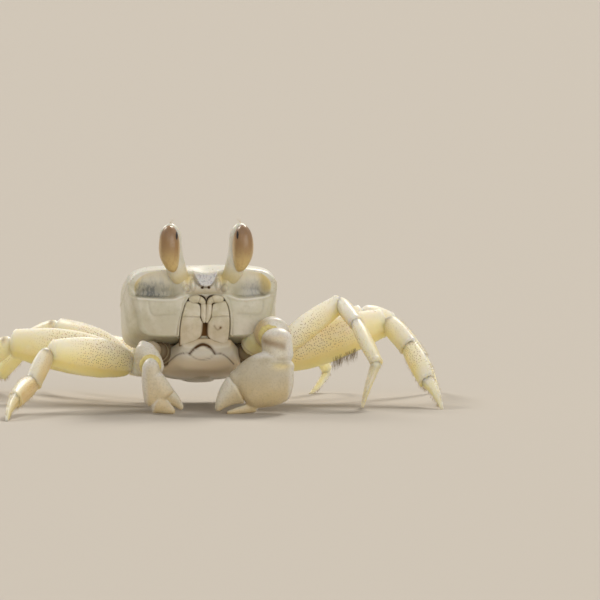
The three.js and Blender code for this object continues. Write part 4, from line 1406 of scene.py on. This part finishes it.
def sternum():
    rings, sides = 120, 150
    step = np.linspace(0, 1, rings)
    y = STERNUM_FRONT + (STERNUM_BACK - STERNUM_FRONT) * step
    angle = np.linspace(0, 2 * np.pi, sides, endpoint=False)
    cap = np.linspace(0.1, 0.95, 10)
    ys = np.concatenate([np.full(len(cap), STERNUM_FRONT), y, np.full(len(cap), STERNUM_BACK)])
    shares = np.concatenate([cap, np.ones(rings), cap[::-1]])
    top = np.minimum(shell_bottom(ys), -8.3 + (ys - STERNUM_FRONT) * 0.6)
    bottom = sternum_bottom(ys)
    middle = (top + bottom) / 2
    half = (top - bottom) / 2
    s = np.sin(angle)
    z = middle[:, None] + (shares * half)[:, None] * s * np.where(
        s > 0, np.abs(s) ** -0.65, np.abs(s) ** -0.25
    ).clip(0, 8)
    x = (shares * sternum_half_width(ys))[:, None] * signed_power(np.cos(angle), 0.6)
    body = np.stack([x, np.repeat(ys[:, None], sides, 1), z], -1).reshape(-1, 3)
    ends = [[0, STERNUM_FRONT, middle[0]], [0, STERNUM_BACK, middle[-1]]]
    body = np.vstack([ends[:1], body, ends[1:]])
    points = in_crab(body)
    a, b = points @ RIGHTWARDS, points @ UPWARDS
    front = smooth(2, -4, body[:, 1])
    arch = distance_to(ARCH, a, b)
    base = distance_to(ARCH_BASE, a, b)
    shoulder = np.minimum(distance_to(SHOULDERS[0], a, b), distance_to(SHOULDERS[1], a, b))
    dent = 0.25 * hump(arch, 0.3) + 0.05 * hump(base, 0.16) + 0.12 * hump(shoulder, 0.22)
    apex = smooth(12.6, 14.0, b)
    seam_and_shade = (1.0 + 0.4 * apex) * hump(arch, 0.26 + 0.12 * apex) + 0.4 * hump(base, 0.14)
    seam_and_shade = seam_and_shade + 0.7 * hump(shoulder, 0.16)
    # Sutures between the plates further back.
    across = np.abs(body[:, 0])
    below = body[:, 2] < middle.max()
    for start in (-3.5, 0.8, 5.2, 9.4):
        line = body[:, 1] - start - 0.18 * (across - 4)
        dent = dent + 0.3 * hump(line, 0.35) * smooth(2.5, 4, across) * (1 - front)
        seam_and_shade = seam_and_shade + 0.45 * hump(line, 0.2) * smooth(2.5, 4, across) * (1 - front)
    points = points + np.stack([np.zeros(len(a)), dent * front, dent * (1 - front) * 0.8], -1)
    # The top strip of the breastplate, under the face's edge, is toned to moss and tan as painted shade.
    shade_under_face = smooth(13.4, 15.2, b) * front
    masks = {
        "seam_and_shade": clamped(seam_and_shade * below),
        "tan": 0.3 + 0.3 * front + 0.4 * shade_under_face,
        # pale and cream lighten the breastplate's front: partly its own pale colour, partly painted fill
        # light where it lies in shade.
        "pale": 0.85 * front * (1 - shade_under_face) * smooth(15, 11, b),
        "cream": front * smooth(12.5, 9.5, b),
        "moss": 0.6 * shade_under_face,
    }
    piece("sternum_shell", points, tube_faces(rings + 20, sides), SHELL, ["sternum"], masks)


def abdomen():
    line = spline([[15.9, 1.5], [16.4, -5], [13.4, -11.4], [6, -14.2], [-3, -14.9]], 20)
    track = in_crab(np.column_stack([np.zeros(len(line)), line[:, 0], line[:, 1]]))
    flap = Limb(
        Path(track), [1, 0, 0], swelling(6.2, 4.8, 1.6, 0.35), constant(0.75), 1.2,
        rings=160, sides=40, square=0.8,
    )
    rings = sum(hump(flap.along - at, 0.009) for at in (0.1, 0.22, 0.34, 0.46, 0.6, 0.76))
    flap.push(-0.22 * rings)
    masks = {"seam_and_shade": clamped(0.6 * rings), "tan": np.full(len(rings), 0.4)}
    cover("", "abdomen", flap, SHELL, masks)


sternum()
abdomen()

# ---------------------------------------------------------------- eyes
EYE_X, EYE_Y, EYE_Z, STALK_TOP = 8.35, -13.9, 37.5, 43.3
CORNEA_IN, CORNEA_FORWARD = 0.3, 0.5  # from the middle of the frame's cornea to the visible one
CORNEA_RADII = np.array([2.45, 2.6, 5.45])
CORNEA_HOOK = 0.8  # how far the cornea's foot curves inwards


def eye(side_name):
    side = SIDES[side_name]
    line = spline(
        [
            [side * 4.9, -11.6, 30.0],
            [side * (EYE_X - 1.9), EYE_Y, 32],
            [side * (EYE_X - 0.4), EYE_Y, EYE_Z],
            [side * (EYE_X - 0.2), EYE_Y, STALK_TOP],
        ],
        24,
    )
    stalk = Limb(
        Path(line), [0, 1, 0], swelling(1.5, 2.1, 2.0, 0.75), swelling(1.9, 2.6, 2.5, 0.8), 0.8, 3.6,
        rings=120, sides=60,
    )
    walked = stalk.along * stalk.length
    stalk.push(0.02 * ripple(stalk.points, 2.5, 8))
    masks = {
        "warm": 0.8 * smooth(5.5, 1.5, walked),
        "pale": 0.55 * smooth(4, 8, walked),
    }
    cover("eyestalk_", side_name, stalk, SHELL, masks)

    centre = (EYE_MIDDLE - [CORNEA_IN, CORNEA_FORWARD, 0]) * [side, 1, 1]
    rings, sides = 110, 90
    polar = np.linspace(0, np.pi, rings + 2)[1:-1]
    angle = np.linspace(0, 2 * np.pi, sides, endpoint=False)
    egg = 1 + 0.06 * np.cos(polar)
    round_x = np.sin(polar)[:, None] * np.cos(angle) * egg[:, None]
    round_y = np.sin(polar)[:, None] * np.sin(angle) * egg[:, None]
    ball = np.stack([round_x, round_y, np.cos(polar)[:, None] * np.ones(sides)], -1).reshape(-1, 3)
    ball = np.vstack([[[0, 0, 1]], ball, [[0, 0, -1]]])
    points = centre + ball * CORNEA_RADII
    points[:, 0] -= side * CORNEA_HOOK * np.minimum(ball[:, 2], 0) ** 2
    flat = (points - centre) @ np.column_stack([RIGHTWARDS, UPWARDS])
    slit_at = np.array([0.25 - side * 1.5, 3.1])
    slit = np.hypot((flat[:, 0] - slit_at[0]) / 0.24, (flat[:, 1] - slit_at[1]) / 0.95)
    masks = {
        "height": (ball[:, 2] + 1) / 2,
        # Painted rim light on the cornea's left and right edges.
        "rim": smooth(0.72, 0.98, np.abs(ball[:, 0])),
        "slit": smooth(1.25, 0.8, slit) * (ball[:, 1] < 0.3),
    }
    faces = [face[::-1] for face in tube_faces(rings, sides)]
    piece(f"cornea_{side_name}_lens", points, faces, CORNEA, [f"cornea_{side_name}"], masks)


for name in SIDES:
    eye(name)


# ---------------------------------------------------------------- bristles
def bristle_piece(name, roots, material):
    """Bristles as thin three-sided spikes, each with its own small patch of the OFBake map."""
    points, faces, patches = [], [], []
    strips = len(bristled) + len(SIDES)
    for root, way, length, thickness, (strip, along, turned) in roots:
        side = unit(np.cross(way, [0.3, 0.5, 0.81]))
        other = np.cross(way, side)
        first = len(points)
        for share, radius in ((-0.05, 1.0), (0.5, 0.7)):
            for turn in range(3):
                angle = turn * 2 * math.pi / 3
                ring = math.cos(angle) * side + math.sin(angle) * other
                sag = np.array([0, 0, -0.12 * length * share**2])
                points.append(root + way * length * share + ring * thickness * radius + sag)
        points.append(root + way * length + [0, 0, -0.12 * length])
        for turn in range(3):
            after = (turn + 1) % 3
            faces.append((first + turn, first + after, first + 3 + after, first + 3 + turn))
            faces.append((first + 3 + turn, first + 3 + after, first + 6))
        patches += [(0.02 + 0.95 * along, (strip + 0.05 + 0.8 * turned) / strips)] * 6
    made = piece(name, np.array(points), faces, material)
    layer = made.data.uv_layers.new(name="OFBake")
    corners = [(0, 0), (1, 0), (1, 1), (0, 1)]
    for polygon, (u, v) in zip(made.data.polygons, patches):
        for corner, index in zip(corners, polygon.loop_indices):
            layer.data[index].uv = (u + 0.003 * corner[0], v + 0.003 * corner[1])
    return made


for number, side in enumerate(SIDES.values()):
    tip = np.array([side * (EYE_X - 0.1), EYE_Y, STALK_TOP - 0.1])
    for lean_x, lean_y, length in ((-0.9, 0, 2.8), (-0.45, 0.1, 2.3), (-0.1, -0.1, 1.8), (-0.7, -0.3, 1.5)):
        on_map = (len(bristled) + number, 0.98, 0.5 + 0.4 * lean_x)
        bristles["pale"].append((tip, unit([side * lean_x, lean_y, 1.0]), length, 0.035, on_map))

bristle_piece("dark_bristles", bristles["dark"], BRISTLE)
bristle_piece("pale_bristles", bristles["pale"], PALE_BRISTLE)

# ---------------------------------------------------------------- stage
floor_mesh = bpy.data.meshes.new("floor")
FLOOR_HALF = 8.0
corners = [(-FLOOR_HALF, -FLOOR_HALF, 0), (FLOOR_HALF, -FLOOR_HALF, 0), (FLOOR_HALF, FLOOR_HALF, 0)]
floor_mesh.from_pydata([*corners, (-FLOOR_HALF, FLOOR_HALF, 0)], [], [(0, 1, 2, 3)])
floor = in_scene("floor", floor_mesh)
paper = bpy.data.materials.new("pale_floor")
paper.use_nodes = True
paper.node_tree.nodes["Principled BSDF"].inputs["Base Color"].default_value = rgb("bcb6ae")
paper.node_tree.nodes["Principled BSDF"].inputs["Roughness"].default_value = 0.9
floor_mesh.materials.append(paper)

world = bpy.data.worlds.new("studio")
bpy.context.scene.world = world
world.use_nodes = True
world.node_tree.nodes["Background"].inputs["Color"].default_value = rgb("f3ece2")
world.node_tree.nodes["Background"].inputs["Strength"].default_value = 0.45


def sun(name, azimuth, elevation, strength, colour, softness):
    """A soft lamp that shines from that azimuth, 0 being the front, and elevation."""
    lamp = bpy.data.lights.new(name, "SUN")
    lamp.energy = strength
    lamp.color = colour
    lamp.angle = math.radians(softness)
    made = in_scene(name, lamp)
    az, el = math.radians(azimuth), math.radians(elevation)
    towards = Vector((math.sin(az) * math.cos(el), -math.cos(az) * math.cos(el), math.sin(el)))
    made.rotation_euler = towards.to_track_quat("Z", "Y").to_euler()


sun("back_left", -140, 40, 1.15, (1.0, 0.95, 0.86), 18)
sun("back_right", 150, 45, 1.9, (1.0, 0.95, 0.86), 18)
sun("front_fill", -20, 30, 0.2, (1.0, 0.99, 0.96), 40)
sun("low_fill", 30, 3, 1.4, (1.0, 0.97, 0.92), 60)

# The camera looks as the photograph's did, through a long lens.
PIXELS, PIXELS_PER_MM = 600, 4.31
PHOTO_ORIGIN = np.array([198.9, 405.4])  # where the crab's origin falls in the photograph
middle = np.array([PIXELS / 2 - PHOTO_ORIGIN[0], PHOTO_ORIGIN[1] - PIXELS / 2]) / PIXELS_PER_MM
target = RIGHTWARDS * middle[0] + UPWARDS * middle[1] + TOWARDS * 12
LENS, SENSOR = 400.0, 36.0
distance = PIXELS / PIXELS_PER_MM * LENS / SENSOR
camera_data = bpy.data.cameras.new("camera")
camera_data.lens = LENS
camera_data.sensor_width = SENSOR
camera_data.clip_end = 50
camera = in_scene("camera", camera_data)
camera.location = (target + TOWARDS * distance + SHIFT) * MM
camera.rotation_euler = Vector(TOWARDS).to_track_quat("Z", "Y").to_euler()
bpy.context.scene.camera = camera
bpy.context.scene.view_settings.view_transform = "Standard"
